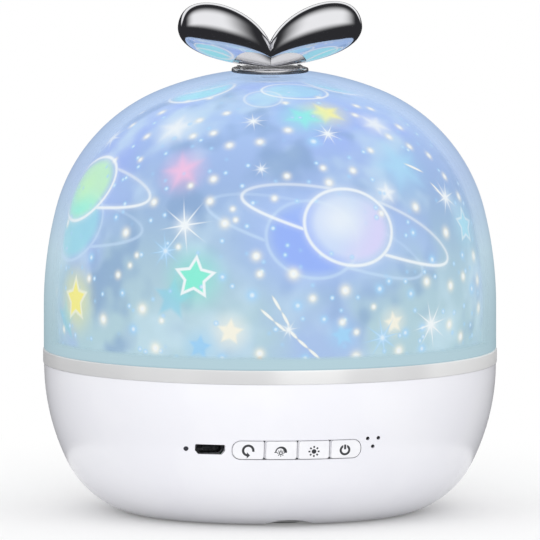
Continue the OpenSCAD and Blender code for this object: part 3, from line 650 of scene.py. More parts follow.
# %% Where the dots are
DOTS = (  # azimuth, height, size of the warm white dots
    (-43, 63, 1.1), (-57, 59, 1.1), (-39, 52, 1.1), (-37, 60, 0.6), (-51, 84, 1.0),
    (-46, 78, 0.6), (-48, 75, 0.6), (-43, 93, 0.9), (-55, 104, 0.6), (-68, 103, 0.6),
    (-68, 116, 0.8), (-87, 115, 0.7), (-40, 115, 0.8), (-38, 111, 0.8), (-30, 112, 0.8),
    (-29, 117, 0.8), (-22, 109, 0.9), (-11, 110, 0.9), (0, 113, 0.9), (-25, 100, 0.9),
    (-32, 98, 0.7), (-25, 94, 0.9), (-20, 88, 1.0), (-18, 92, 0.6), (-17, 89, 0.6),
    (-11, 79, 1.0), (-10, 74, 0.8), (-1, 74, 1.2), (4, 67, 0.8), (13, 69, 1.1),
    (21, 64, 0.6), (39, 70, 1.0), (49, 68, 1.0), (56, 70, 0.9), (50, 83, 1.1),
    (39, 91, 1.0), (20, 102, 0.8), (10, 103, 0.7), (11, 99, 0.9), (-2, 101, 0.8),
    (43, 110, 0.8), (55, 112, 0.9), (45, 118, 0.8), (12, 60, 0.8), (16, 57, 0.7),
    (16, 50, 1.1), (29, 51, 1.1), (54, 53, 1.0), (48, 57, 1.0), (66, 60, 1.0),
    (-84, 84, 0.9), (-94, 70, 0.8), (-87, 64, 0.9), (-102, 96, 1.0), (-104, 60, 1.0),
    (-79, 54, 0.8), (-10, 51.4, 1.0), (60, 98, 0.8), (64, 92, 0.9), (58, 104, 0.8),
    (65, 75, 1.0), (50, 107, 0.8), (36, 116, 0.8), (52, 117, 0.8), (30, 107, 0.7),
    (-6, 95, 0.7), (26, 90, 0.7), (-64, 70, 0.8), (-52, 72, 0.8), (-60, 110, 0.8),
    (-78, 112, 0.8), (-50, 120, 0.7), (-63, 119, 0.7), (2, 119.5, 0.7),
    (28, 120.5, 0.7), (-33, 81, 0.6), (66, 68, 1.0))
COOL_DOTS = (  # azimuth, height, size of the bluish dots
    (-12, 68, 1.1), (0, 65, 1.0), (-20, 73, 0.8), (23, 69, 1.0), (33, 67, 0.9), (26, 71, 0.7),
    (42, 76, 1.0), (36, 84, 0.8), (31, 56, 0.9), (37, 51, 1.0), (37, 57, 0.9), (2, 50, 0.9),
    (-20, 50, 0.9), (-46, 57, 1.0), (9, 110, 1.3), (7, 61, 0.8), (-50, 67, 0.7),
    (-56, 88, 0.7), (61, 66, 1.1), (57, 76, 0.8), (-64, 76, 0.9), (-100, 88, 0.9))
print("dots:", len(DOTS) + len(COOL_DOTS))

# %% [markdown]
# The print is one group, which works like a stack of transparencies: `lay` puts a colour
# over what lies under it where its mask is 1. `chalk` only collects masks with Maximum.
# White lines and dots are collected so and laid on last, which saves many Mix nodes.

# %% The stack of transparencies
sky = bpy.data.node_groups.new("night_sky_print", "ShaderNodeTree")
for name, way, kind in (("Vector", "INPUT", "Vector"), ("Under", "INPUT", "Color"),
                        ("Colour", "OUTPUT", "Color")):
    sky.interface.new_socket(name, in_out=way, socket_type="NodeSocket" + kind)
sky_in = sky.nodes.new("NodeGroupInput").outputs
spot = sky_in["Vector"]
stack = {"colour": sky_in["Under"], "cool": 0.0, "warm": 0.0, "white": 0.0}


def lay(mask, colour):
    """Puts a colour over the stack where the mask is 1."""
    stack["colour"] = blend(sky, mask, stack["colour"], colour)


def chalk(kind, mask):
    """Adds a mask to those of its kind, which get their colour at the end."""
    stack[kind] = maths(sky, "MAXIMUM", stack[kind], mask)


def product(*masks):
    """Where all the masks in the print are 1."""
    result = masks[0]
    for mask in masks[1:]:
        result = maths(sky, "MULTIPLY", result, mask)
    return result


def wait(place):
    """Gives the same place back, but only once all that is laid so far is worked out.
    Cycles has room for 255 numbers in a material and would start all motifs at once."""
    masks = put(sky, "CombineXYZ", {0: stack["cool"], 1: stack["warm"], 2: stack["white"]})
    for first in (stack["colour"], masks.outputs[0]):
        place = put(sky, "VectorMath", {0: first, 1: (0.0, 0.0, 0.0), 2: place},
                    operation="MULTIPLY_ADD").outputs[0]
    return place


print("the stack collects chalk of", len(stack) - 1, "kinds")


# %% [markdown]
# A planet is a disc with a line round it and, on the two large ones, a tilted ring that
# passes behind the disc. A line is where the distance from the ellipse is small. It has a
# narrow bright core and a wide weak glow. The two large planets then get a shade on one
# side and a bright middle, which makes them look round.

# %% Lay the ghosts and the planets
PLANET_STRENGTH = 0.8


def glowing_line(off, core, glow, share):
    """Mask of a line: share is what the core gives, and the glow gives the rest."""
    return maths(sky, "ADD", fade(sky, off, core, 0.1, 0.0, share),
                 fade(sky, off, glow, 0.2, 0.0, 1.0 - share))


def lay_planet(azimuth, height, half, turn, ring, fill):
    """Lays the disc and the inside of the ring, and gives the mask of their lines."""
    disc_at = in_frame(sky, spot, azimuth, height, half, turn)
    disc = length(sky, disc_at)
    lines = glowing_line(line_off(sky, disc_at, half), 0.8, 2.4, 0.8)
    if ring:
        ring_x, ring_z, ring_w, ring_h, ring_turn = ring
        round_by = math.degrees(ring_x / dome_point(height, FILM)[0])
        loop_at = in_frame(sky, spot, azimuth + round_by, height + ring_z,
                           (ring_w, ring_h), ring_turn)
        outside = fade(sky, disc, 1.0, 1.05)
        inside = product(fade(sky, length(sky, loop_at), 1.05, 0.6), outside)
        lay(product(inside, 0.35 * PLANET_STRENGTH), tint(186, 212, 255))
        loop = glowing_line(line_off(sky, loop_at, (ring_w, ring_h)), 0.75, 2.0, 0.82)
        depth = fade(sky, along(sky, loop_at, (0, 1, 0)), 0.6, -0.5, 0.6, 1.0)
        lines = maths(sky, "MAXIMUM", lines, product(loop, depth, outside))
    lay(fade(sky, disc, 1.06, 0.7, 0.0, PLANET_STRENGTH), fill)
    return lines, disc_at


for (azimuth, height, fill), (_, _, half, turn, _, ring) in zip(GHOSTS, PLANETS):
    lines, _ = lay_planet(azimuth, height, half, turn, ring, fill)
    lay(product(lines, 0.6), tint(206, 230, 255))
for azimuth, height, size, turn, *_ in STARS[:2]:
    edge = star(sky, in_frame(sky, spot, azimuth - 6.2, height - 6.2, size, turn - 4))
    lay(fade(sky, edge, 0.15, -0.15, 0.0, 0.75), tint(146, 212, 236))
spot = wait(spot)
for azimuth, height, half, turn, fill, ring in PLANETS:
    lines, disc_at = lay_planet(azimuth, height, half, turn, ring, fill)
    if ring:
        shade, toward, middle = ((LILAC, (0.9, -0.2, 0), WHITE) if azimuth > 0 else
                                 (TURQUOISE, (-0.5, -0.8, 0), GREEN))
        away = along(sky, disc_at, toward)
        on_disc = fade(sky, length(sky, disc_at), 1.0, 0.7)
        lay(product(fade(sky, away, -0.2, 0.7, 0.0, 0.75), on_disc), shade)
        bright = put(sky, "VectorMath", {0: disc_at, 1: (0.25, -0.1, 0)}).outputs[0]
        lay(fade(sky, length(sky, bright), 0.8, 0.0, 0.0, 0.7), middle)
    chalk("white", product(lines, 0.92))
for azimuth, height, half, turn, strength in LOOPS:
    loop_at = in_frame(sky, spot, azimuth, height, half, turn)
    lay(fade(sky, length(sky, loop_at), 1.0, 0.6, 0.0, 0.5 * strength), AQUA)
    chalk("white", fade(sky, line_off(sky, loop_at, half), 0.66, 0.1, 0.0, strength))

print("nodes in the print with the planets:", len(sky.nodes))

# %% [markdown]
# The stars follow: a soft halo, the star with a sharp or blurred edge and, on some, an
# outline. A sparkle is a star with eight rays and a very narrow waist over a bright dot,
# and a stroke is a disc squeezed to half a millimetre. Placed dots are a bright core that
# dies away, because a lit pinhole looks so through a milky cover.

# %% Lay the stars, sparkles and strokes
spot = wait(spot)
for azimuth, height, size, turn, fill, strength, outline, blur in STARS:
    star_at = in_frame(sky, spot, azimuth, height, size, turn)
    edge = star(sky, star_at, 5, 0.52)
    lay(fade(sky, length(sky, star_at), 2.1, 0.2, 0.0, 0.55 * strength), fill)
    lay(fade(sky, edge, blur, -blur, 0.0, strength), fill)
    if outline:
        chalk("white", fade(sky, maths(sky, "ABSOLUTE", edge), 0.11, 0.03, 0.0, outline))


DOT_PEAK, DOT_REACH = 1.18, 3.6


def dot(azimuth, height, size):
    """A bright core with a weak, wide skirt that ends DOT_REACH times size away."""
    gap = put(sky, "VectorMath", {0: spot, 1: on_film(azimuth, height)},
              operation="DISTANCE").outputs["Value"]
    core = maths(sky, "MULTIPLY_ADD", gap, -DOT_PEAK / (DOT_REACH * size), DOT_PEAK)
    return maths(sky, "POWER", maths(sky, "MAXIMUM", core, 0.0), 3.0)


spot = wait(spot)
for azimuth, height, size, bluish in SPARKLES:
    edge = star(sky, in_frame(sky, spot, azimuth, height, size, 11), 8, 0.16)
    kind = "cool" if bluish else "white"
    chalk(kind, fade(sky, edge, 0.1, -0.03))
    chalk(kind, dot(azimuth, height, 0.4 * size))
for a0, h0, a1, h1 in STROKES:
    height = (h0 + h1) / 2
    across = math.radians(a1 - a0) * dome_point(height, FILM)[0]
    run = math.hypot(across, h1 - h0)
    stroke_at = in_frame(sky, spot, (a0 + a1) / 2, height, (run / 2 + 0.7, 0.48),
                         math.degrees(math.atan2(h1 - h0, across)))
    chalk("warm", fade(sky, length(sky, stroke_at), 1.15, 0.5))
print("nodes in the print with the stars:", len(sky.nodes))

# %% [markdown]
# The faint small dots between those of the lists come from a 3D Voronoi: its cells hold
# one random point each, and only where a point lies close to the film does it show, so
# the dots differ in size by themselves. The collected masks are laid on last: colour
# first, and white over their bright middle. Over all lies a small warm spot low in front,
# a painted glow of the bulb inside the lamp.

# %% Lay the dots
spot = wait(spot)
for azimuth, height, size in COOL_DOTS:
    chalk("cool", dot(azimuth, height, size))
for azimuth, height, size in DOTS:
    chalk("warm", dot(azimuth, height, size))
moved = put(sky, "VectorMath", {0: spot, 1: (11.0, 22.0, 33.0)}).outputs[0]
cells = put(sky, "TexVoronoi", {"Vector": moved, "Scale": 0.22}).outputs["Distance"]
chalk("cool", maths(sky, "POWER", fade(sky, cells, 0.3, 0.04, 0.0, 1.1), 2.0))
lay(stack["cool"], SKY)
lay(fade(sky, stack["cool"], 0.6, 1.4, 0.0, 0.7), WHITE)
lay(stack["warm"], CREAM)
lay(fade(sky, stack["warm"], 0.4, 1.3), WHITE)
lay(stack["white"], WHITE)
# A painted glow: the warm spot of the bulb inside the lamp, seen through the film, is laid
# over the whole print.
bulb_glow_at = in_frame(sky, spot, -10, 49.4, (0.9, 1.2))
lay(fade(sky, length(sky, bulb_glow_at), 1.3, 0.3, 0.0, 0.8), tint(252, 206, 150))
sky.links.new(stack["colour"], sky.nodes.new("NodeGroupOutput").inputs["Colour"])
print("nodes in the whole print:", len(sky.nodes))

# %% [markdown]
# Under the motifs lies a ground of blue light that is more green near the band and more
# violet towards the crown, with soft clouds. The print repeats after half a turn, so one
# set of motifs covers the whole lamp: a point on the far half is turned to the near half
# before it goes into the group.

# %% Turn the film
FILM_BACK, FILM_FOOT, FILM_HOLE = 2.9, 49.2, 8.0
film_profile = ([(dome_point(FILM_FOOT, FILM)[0], FILM_FOOT)] + dome_line(FILM, FILM_HOLE)
                + dome_line(FILM_BACK, FILM_HOLE)[::-1]
                + [(dome_point(FILM_FOOT, FILM_BACK)[0], FILM_FOOT)])
film = lathe("star_film_print", film_profile + film_profile[:1])
print("film faces:", len(film.data.polygons))

# %% The ground of the print
finish, tree, place, surface = new_finish("printed_film")
in_mm = put(tree, "VectorMath", {0: place, "Scale": 1 / MM}, operation="SCALE").outputs[0]
SEAM = math.radians(20)
facing = along(tree, in_mm, (-math.sin(SEAM), -math.cos(SEAM), 0))
sign = maths(tree, "SIGN", facing)
flip = put(tree, "CombineXYZ", {0: sign, 1: sign, 2: 1.0}).outputs[0]
half = put(tree, "VectorMath", {0: in_mm, 1: flip}, operation="MULTIPLY").outputs[0]
height = along(tree, in_mm, (0, 0, 1))
levels = ramp(tree, fade(tree, height, LIT_FROM, LIT_TO), tint(188, 218, 226),
              tint(182, 212, 255), (0.3, tint(174, 204, 222)),
              (0.55, tint(158, 188, 224)), (0.8, tint(160, 186, 236)))
levels.color_ramp.interpolation = "B_SPLINE"
violet = noise(tree, in_mm, 0.028)
pale = noise(tree, in_mm, 0.045, 3.0, W=4.0)
deep_blue = noise(tree, in_mm, 0.06, W=9.0)
ground = levels.outputs[0]
for patch, low, strength, colour in ((violet, 0.5, 0.5, tint(162, 182, 255)),
                                     (pale, 0.5, 0.6, tint(212, 238, 252)),
                                     (deep_blue, 0.52, 0.7, tint(134, 166, 208))):
    ground = blend(tree, fade(tree, patch, low, 0.68, 0.0, strength), ground, colour)
planet_glow = length(tree, in_frame(tree, half, 6.0, 82.0, (34, 22)))
ground = blend(tree, fade(tree, planet_glow, 1.1, 0.1, 0.0, 0.75), ground, tint(164, 188, 255))

# %% The print on the film
printed = tree.nodes.new("ShaderNodeGroup")
printed.node_tree = sky
tree.links.new(half, printed.inputs["Vector"])
tree.links.new(ground, printed.inputs["Under"])
picture = printed.outputs["Colour"]
glow = put(tree, "Emission", {"Color": picture, "Strength": 0.95})
ink = put(tree, "BsdfPrincipled", {"Base Color": picture, "Roughness": 0.5})
tree.links.new(mix_shader(tree, 0.86, ink, glow).outputs[0], surface)
finish.cycles.emission_sampling = "NONE"
film.data.materials.append(finish)
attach(film, "film_drum")
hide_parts("star_film")
print("finish of the film:", len(tree.nodes), "nodes and the print")

# %% [markdown]
# ## The chrome leaves
# A pair of fat leaves stands on the crown. Each is a loft: an ellipse that is pulled from
# the root to the tip between two curved rails, growing, turning and shrinking on the way.
# In Blender that is a circle that is extruded again and again, with a rotation and a
# resize after each step: turned back upright, resized, and turned to its new tilt. The
# steps get shorter towards the tip, where the outline bends most. The second leaf is a
# mirrored copy with its own mesh.

# %% Rails of a leaf
PLATE_TOP = 127.26
UP_RAIL = ((0.06, 134.81), (5.5, 146.31), (26.6, 151.51), (26.4, 138.61))
DOWN_RAIL = ((0.06, 127.46), (7.0, 127.61), (26.4, 130.51), (26.4, 138.61))
LEAF_DEPTH, ROOT_SHARE = 6.2, 0.35


def rail(points, t):
    """A point of a Bezier curve through its first and last point."""
    weights = ((1 - t) ** 3, 3 * t * (1 - t) ** 2, 3 * t * t * (1 - t), t ** 3)
    return Vector((sum(w * p[0] for w, p in zip(weights, points)), 0,
                   sum(w * p[1] for w, p in zip(weights, points))))


def leaf_section(t):
    """Middle, half height, half depth and tilt of the leaf's section at t."""
    high, low = rail(UP_RAIL, t), rail(DOWN_RAIL, t)
    half = (high - low) / 2
    swell = ROOT_SHARE + (1 - ROOT_SHARE) * math.sin(math.radians(min(90, 150 * t)))
    depth = LEAF_DEPTH * swell * math.sqrt(1 - t ** 3)
    return (high + low) / 2, half.length, depth, math.atan2(half.x, half.z)


print("root of a leaf, half height and depth:", [round(v, 2) for v in leaf_section(0)[1:3]])

# %% Loft a leaf
SECTIONS = 44
deselect()
middle, tall, deep, tilt = leaf_section(0)
bpy.ops.mesh.primitive_circle_add(vertices=56, radius=MM, fill_type="NGON",
                                  location=(0, 0, 0), rotation=(0, math.pi / 2, 0))
leaf = bpy.context.active_object
leaf.name = leaf.data.name = "right_chrome_leaf"
bpy.ops.object.transform_apply(location=True, rotation=True, scale=True)
bpy.ops.object.mode_set(mode="EDIT")
bpy.ops.mesh.select_all(action="SELECT")
bpy.ops.transform.resize(value=(1, deep, tall))
bpy.ops.transform.rotate(value=-tilt, orient_axis="Y", center_override=(0, 0, 0))
bpy.ops.transform.translate(value=middle * MM)
for i in range(1, SECTIONS):
    was, was_tall, was_deep, was_tilt = middle, tall, deep, tilt
    middle, tall, deep, tilt = leaf_section(1 - (1 - i / SECTIONS) ** 1.7)
    bpy.ops.mesh.extrude_region_move(TRANSFORM_OT_translate={"value": (middle - was) * MM})
    at = middle * MM
    bpy.ops.transform.rotate(value=was_tilt, orient_axis="Y", center_override=at)
    bpy.ops.transform.resize(value=(1, deep / was_deep, tall / was_tall), center_override=at)
    bpy.ops.transform.rotate(value=-tilt, orient_axis="Y", center_override=at)
bpy.ops.mesh.extrude_region_move(
    TRANSFORM_OT_translate={"value": (rail(UP_RAIL, 1) - middle) * MM})
bpy.ops.mesh.merge(type="CENTER")
bpy.ops.mesh.select_all(action="SELECT")
bpy.ops.mesh.normals_make_consistent(inside=False)
bpy.ops.object.mode_set(mode="OBJECT")
smooth(leaf, 50)
print("faces of a leaf:", len(leaf.data.polygons))

# %% Copy the leaf and give both their chrome
other = flipped_copy(leaf, "left_chrome_leaf", (-1, 1, 1))
chrome = metal("chrome", tint(232, 232, 235), 0.07, (220, 220, 220), 0.02, 0.015)
for piece, node in ((leaf, "right_leaf"), (other, "left_leaf")):
    piece.data.materials.append(chrome)
    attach(piece, "cover")
    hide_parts(node)
    top = max(v.co.z for v in piece.data.vertices) / MM
    print(piece.name, "top at", round(top, 2), "mm")

# %% [markdown]
# ## The plate under the leaves
# The leaves stand on a thin round plate, held between pairs of facetted jaws. The plate
# is turned. Its underside follows the crown a tenth of a millimetre above it, and its
# stem goes through the cover to take the screw from inside.

# %% Turn the plate
PLATE_R, STEM_R, STEM_Z, SCREW_HOLE_R, SCREW_TOP = 11.0, 2.5, 124.7, 1.3, 126.9
PLATE_GAP = 0.1
(_, crown_z), crown_r, _ = DOME_ARCS[2]
under_plate = [(r, crown_z + math.sqrt((crown_r + PLATE_GAP) ** 2 - r * r))
               for r in (PLATE_R, 8.8, 6.6, 4.4, STEM_R)]
plate_profile = ([(0, PLATE_TOP), (PLATE_R - 0.4, PLATE_TOP),
                  (PLATE_R - 0.14, PLATE_TOP - 0.1), (PLATE_R, PLATE_TOP - 0.36)]
                 + under_plate
                 + [(STEM_R, STEM_Z), (SCREW_HOLE_R, STEM_Z), (SCREW_HOLE_R, SCREW_TOP),
                    (0, SCREW_TOP)])
plate = lathe("leaf_plate", plate_profile, steps=96)
print("plate faces:", len(plate.data.polygons))

# %% [markdown]
# A jaw has one outline from the front and another from above. A prism of each, cut with
# Boolean Intersect, keeps what they have in common. The second prism is drawn flat like
# the first and turned up in edit mode. A bevel on its edges then catches a line of light.
# The jaw is made once and copied to the four corners.

# %% Cut a jaw
jaw_line = [(5.8 + x, PLATE_TOP + z) for x, z in (
    (-3.5, -0.1), (2.9, -0.1), (3.6, 1.1), (2.5, 1.8), (0.9, 2.3), (-0.9, 2.0), (-2.0, 1.3))]
jaw = prism("leaf_jaw", jaw_line, -3.1, -4.8)
jaw_plan = [(1.8, 2.1), (1.8, 3.3), (4.6, 4.8), (7.6, 4.8), (9.8, 3.8), (9.8, 2.1)]
plan = prism("jaw_plan", [(x, -y) for x, y in jaw_plan], 126, 131)
bpy.ops.object.mode_set(mode="EDIT")
bpy.ops.mesh.select_all(action="SELECT")
bpy.ops.transform.rotate(value=-math.pi / 2, orient_axis="X", center_override=(0, 0, 0))
bpy.ops.mesh.normals_make_consistent(inside=False)
bpy.ops.object.mode_set(mode="OBJECT")
combine(jaw, plan, "INTERSECT")
apply_modifier(jaw, "BEVEL", width=0.22 * MM, segments=2, limit_method="ANGLE",
               angle_limit=math.radians(15))
print("faces of a jaw:", len(jaw.data.polygons))

# %% Join the jaws to the plate
web = prism("leaf_web", [(8.3, PLATE_TOP - 0.1), (8.8, PLATE_TOP - 0.1),
                         (9.2, PLATE_TOP + 0.6), (8.3, PLATE_TOP + 0.6)], -3.2, 3.2)
parts = [plate]
for flip_x in (1, -1):
    for start, flip_y in ((jaw, 1), (jaw, -1), (web, 1)):
        parts.append(flipped_copy(start, "leaf_holder", (flip_x, flip_y, 1)))
for start in (jaw, web):
    bpy.data.objects.remove(start)
pick(*parts)
bpy.ops.object.join()
smooth(plate, 28)
plate.data.materials.clear()
satin = metal("satin_chrome", tint(236, 236, 238), 0.24, (220, 220, 220), 0.04)
plate.data.materials.append(satin)
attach(plate, "cover")
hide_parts("leaf_base")
print("plate and jaws:", len(plate.data.polygons), "faces")

# %% [markdown]
# ## The signs on the buttons
# The signs are printed, so they belong to the finish of a button: arcs, bars and rays
# that are measured in millimetres from the middle of the sign. Each mark is 1 on the ink
# and 0 beside it, with a soft edge of a tenth of a millimetre. They are the plain signs
# that any such lamp may have: turn, dim, bright and power.

# %% Marks to draw with
INK = tint(52, 54, 58)
SOFT = 0.05


def within(tree, value, limit):
    return fade(tree, value, limit + SOFT, limit - SOFT)


def beyond(tree, value, limit):
    return fade(tree, value, limit - SOFT, limit + SOFT)


def both_marks(tree, one, other):
    return maths(tree, "MULTIPLY", one, other)


def off_from(tree, value, wanted):
    return maths(tree, "ABSOLUTE", maths(tree, "SUBTRACT", value, wanted))


def ring_mark(tree, r, radius, half_line):
    return within(tree, off_from(tree, r, radius), half_line)


def open_ring(tree, r, radius, half_line, gap):
    closed = ring_mark(tree, r, radius, half_line)
    return both_marks(tree, closed, maths(tree, "SUBTRACT", 1.0, gap))


def rays_mark(tree, angle, r, inner, outer, half_width):
    """Eight short rays round the middle."""
    fold = maths(tree, "PINGPONG", angle, math.pi / 8)
    side = maths(tree, "MULTIPLY", r, maths(tree, "SINE", fold))
    band = both_marks(tree, beyond(tree, r, inner), within(tree, r, outer))
    return both_marks(tree, band, within(tree, side, half_width))


def polar(tree, x, z):
    """Distance and angle of a point from the middle of a sign."""
    flat = put(tree, "CombineXYZ", {0: x, 1: z, 2: 0.0}).outputs[0]
    return length(tree, flat), maths(tree, "ARCTAN2", z, x)


# %% The four signs
def turn_sign(tree, x, z):
    """A ring with a gap low on the right, and an arrow's head at its lower end."""
    r, angle = polar(tree, x, z)
    gap = both_marks(tree, fade(tree, angle, -1.5, -1.4), fade(tree, angle, -0.2, -0.3))
    loop = open_ring(tree, r, 1.42, 0.33, gap)
    dx = maths(tree, "ADD", x, 0.02)
    slant = maths(tree, "ADD", dx, maths(tree, "ABSOLUTE", maths(tree, "ADD", z, 1.42)))
    head = both_marks(tree, fade(tree, maths(tree, "SUBTRACT", 0.62, slant), -0.04, 0.06),
                      fade(tree, dx, -0.36, -0.28))
    return maths(tree, "MAXIMUM", loop, head)


def dim_sign(tree, x, z):
    """A small sun under a bow that gets thicker to the right."""
    r, angle = polar(tree, x, z)
    thick = fade(tree, angle, 2.6, 0.2, 0.18, 0.42)
    past = maths(tree, "SUBTRACT", off_from(tree, r, 1.38), thick)
    bow = both_marks(tree, within(tree, past, 0.0), fade(tree, z, -0.26, -0.16))
    near, turn = polar(tree, maths(tree, "SUBTRACT", x, 0.05), maths(tree, "ADD", z, 0.28))
    sun = maths(tree, "MAXIMUM", ring_mark(tree, near, 0.42, 0.14),
                rays_mark(tree, turn, near, 0.68, 1.02, 0.15))
    return maths(tree, "MAXIMUM", bow, sun)


def sun_sign(tree, x, z):
    """A full disc with eight rays."""
    r, angle = polar(tree, x, z)
    return maths(tree, "MAXIMUM", within(tree, r, 0.68),
                 rays_mark(tree, angle, r, 1.04, 1.62, 0.24))


def power_sign(tree, x, z):
    """A ring that is open at the top, with an upright bar in the gap."""
    r, _ = polar(tree, x, z)
    gap = both_marks(tree, within(tree, maths(tree, "ABSOLUTE", x), 0.55),
                     fade(tree, z, 0.2, 0.3))
    bar = both_marks(tree, within(tree, off_from(tree, x, 0.0), 0.31),
                     within(tree, off_from(tree, z, 0.9), 0.7))
    return maths(tree, "MAXIMUM", open_ring(tree, r, 1.26, 0.32, gap), bar)


BUTTONS = (  # node, sign, name and middle of the sign, side of the round end
    ("rotate", turn_sign, "turn", (0.0, -0.05), -1),
    ("dimmer", dim_sign, "dim", (-0.2, -0.5), 0),
    ("sun", sun_sign, "sun", (0.0, -0.42), 0),
    ("power", power_sign, "power", (-0.3, -0.26), 1))


# %% The finish of a button
FRONT_FACE = -58.0


def button_finish(sign, name, centre, middle):
    """White ABS with ink on it, on the outer face only."""
    finish, tree, place, surface = new_finish("button_" + name)
    axes = put(tree, "SeparateXYZ", {0: place}).outputs
    x = maths(tree, "MULTIPLY_ADD", axes[0], 1 / MM, -middle)
    z = maths(tree, "MULTIPLY_ADD", axes[2], 1 / MM, -PANEL_Z)
    x = maths(tree, "SUBTRACT", x, centre[0])
    z = maths(tree, "SUBTRACT", z, centre[1])
    depth = maths(tree, "MULTIPLY", axes[1], 1 / MM)
    front = fade(tree, depth, FRONT_FACE, FRONT_FACE - 0.5)
    mark = both_marks(tree, sign(tree, x, z), front)
    fine = noise(tree, place, 2600.0)
    cloud = noise(tree, place, 300.0)
    face = blend(tree, fade(tree, cloud, 0.3, 0.7), tint(250, 250, 253),
                 tint(246, 246, 250))
    body = blend(tree, mark, face, INK)
    gloss = maths(tree, "MULTIPLY_ADD", mark, 0.25, 0.26)
    skin = put(tree, "BsdfPrincipled", {"Base Color": body, "Roughness": gloss,
                                        "Normal": grain_bump(tree, fine, 0.12)})
    tree.links.new(skin.outputs[0], surface)
    return finish


print("signs:", [name for _, _, name, _, _ in BUTTONS])

# %% [markdown]
# ## The buttons
# Four buttons stand a little out of the bowl and follow its curve. Each is the part that a
# prism and a shell of the bowl's shape have in common, which is what Boolean Intersect
# keeps. A bevel then rounds the edge of its face. A flange, made in the same way, goes a
# little past the button all round, so that nothing can be seen past it. The two end
# buttons have round ends.

# %% Helpers for the shape of a button
BUTTON_H, ROUND_R, CORNER_RADIUS = 5.2, 2.3, 0.6
FLANGE = 0.15


def button_outline(middle, end, grow=0.0):
    """The outline from the front; at the side of a neighbour the flange goes further."""
    line = []
    for sx, sz, start in CORNERS:
        radius = (ROUND_R if sx == end else CORNER_RADIUS) + grow
        wide = BUTTON_W / 2 + grow * (1.0 if sx == end else 2.1)
        centre = (middle + sx * (wide - radius),
                  PANEL_Z + sz * (BUTTON_H / 2 + grow - radius))
        line += arc(centre, radius, start, start + 90, 8)
    return line


def wall_shell(outer, inner):
    """The bowl's wall near the buttons, between two depths in mm under its surface."""
    heights = [PANEL_Z + k for k in range(-6, 7, 2)]
    line = ([(bowl_radius(z, outer), z) for z in heights]
            + [(bowl_radius(z, inner), z) for z in heights[::-1]])
    return lathe("button_wall", line + line[:1], steps=240)


def in_wall(name, outline, outer, inner):
    """A prism of the outline, as far as it lies between two depths in the wall."""
    piece = prism(name, outline, OUTSIDE, -54)
    combine(piece, wall_shell(outer, inner), "INTERSECT")
    return piece


# %% Shape the buttons
for i, (node, sign, name, centre, end) in enumerate(BUTTONS):
    middle = (i - 1.5) * PITCH
    button = in_wall("button_" + node + "_cap", button_outline(middle, end), -0.35, 3.8)
    apply_modifier(button, "BEVEL", width=0.32 * MM, segments=3, limit_method="ANGLE",
                   angle_limit=math.radians(50))
    flange = in_wall("button_flange", button_outline(middle, end, FLANGE), 0.9, 1.6)
    combine(button, flange, "UNION")
    smooth(button, 35)
    button.data.materials.clear()
    button.data.materials.append(button_finish(sign, name, centre, middle))
    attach(button, node + "_button")
    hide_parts("button_" + node)
    print(button.name, len(button.data.polygons), "faces")

# %% [markdown]
# ## Finishes for the pieces inside and below
# The other pieces keep their exact shapes from the frame and only get a finish: rubber
# for the feet, brushed and turned metals, printed circuit boards, clear acrylic and the
# shrink sleeve of the cell. A finish is assigned to every material slot of a piece. A
# board has two patterns: a Brick texture gives thin copper lines under the mask, and a
# Voronoi gives round pads.

# %% Finishes with a pattern of their own
def board(name, mask_colour, trace_colour):
    """A printed circuit board: lines under the mask, and gilded pads."""
    finish, tree, place, surface = new_finish(name)
    lines = put(tree, "TexBrick", {"Vector": place, "Scale": 340.0, "Mortar Size": 0.018,
                                   "Color1": mask_colour, "Color2": mask_colour,
                                   "Mortar": trace_colour}).outputs["Color"]
    pads = put(tree, "TexVoronoi", {"Vector": place, "Scale": 260.0}).outputs["Distance"]
    body = blend(tree, fade(tree, pads, 0.16, 0.12), lines, tint(206, 198, 170))
    skin = put(tree, "BsdfPrincipled", {"Base Color": body, "Roughness": 0.35})
    tree.links.new(skin.outputs[0], surface)
    return finish


def acrylic():
    """Clear, with a gloss that grows towards the outline and drifts a little."""
    finish, tree, place, surface = new_finish("clear_acrylic")
    haze = noise(tree, place, 60.0, 3.0)
    rough = fade(tree, haze, 0.3, 0.7, 0.05, 0.16)
    gloss = put(tree, "BsdfGlossy", {"Color": (1, 1, 1, 1), "Roughness": rough})
    clear = put(tree, "BsdfTransparent", {"Color": (0.97, 0.98, 1.0, 1)})
    share = put(tree, "Fresnel", {"IOR": 1.45}).outputs[0]
    tree.links.new(mix_shader(tree, share, clear, gloss).outputs[0], surface)
    return finish


def lamp_die():
    """The grainy yellow phosphor on a lamp's chip, with a weak glow."""
    finish, tree, place, surface = new_finish("led_phosphor")
    grain = put(tree, "TexVoronoi", {"Vector": place, "Scale": 1400.0}).outputs["Distance"]
    body = blend(tree, fade(tree, grain, 0.2, 0.6), tint(250, 226, 110),
                 tint(240, 206, 84))
    glow = put(tree, "Emission", {"Color": body, "Strength": 0.5})
    skin = put(tree, "BsdfPrincipled", {"Base Color": body, "Roughness": 0.4})
    both = put(tree, "AddShader", {0: glow.outputs[0], 1: skin.outputs[0]})
    tree.links.new(both.outputs[0], surface)
    finish.cycles.emission_sampling = "NONE"
    return finish


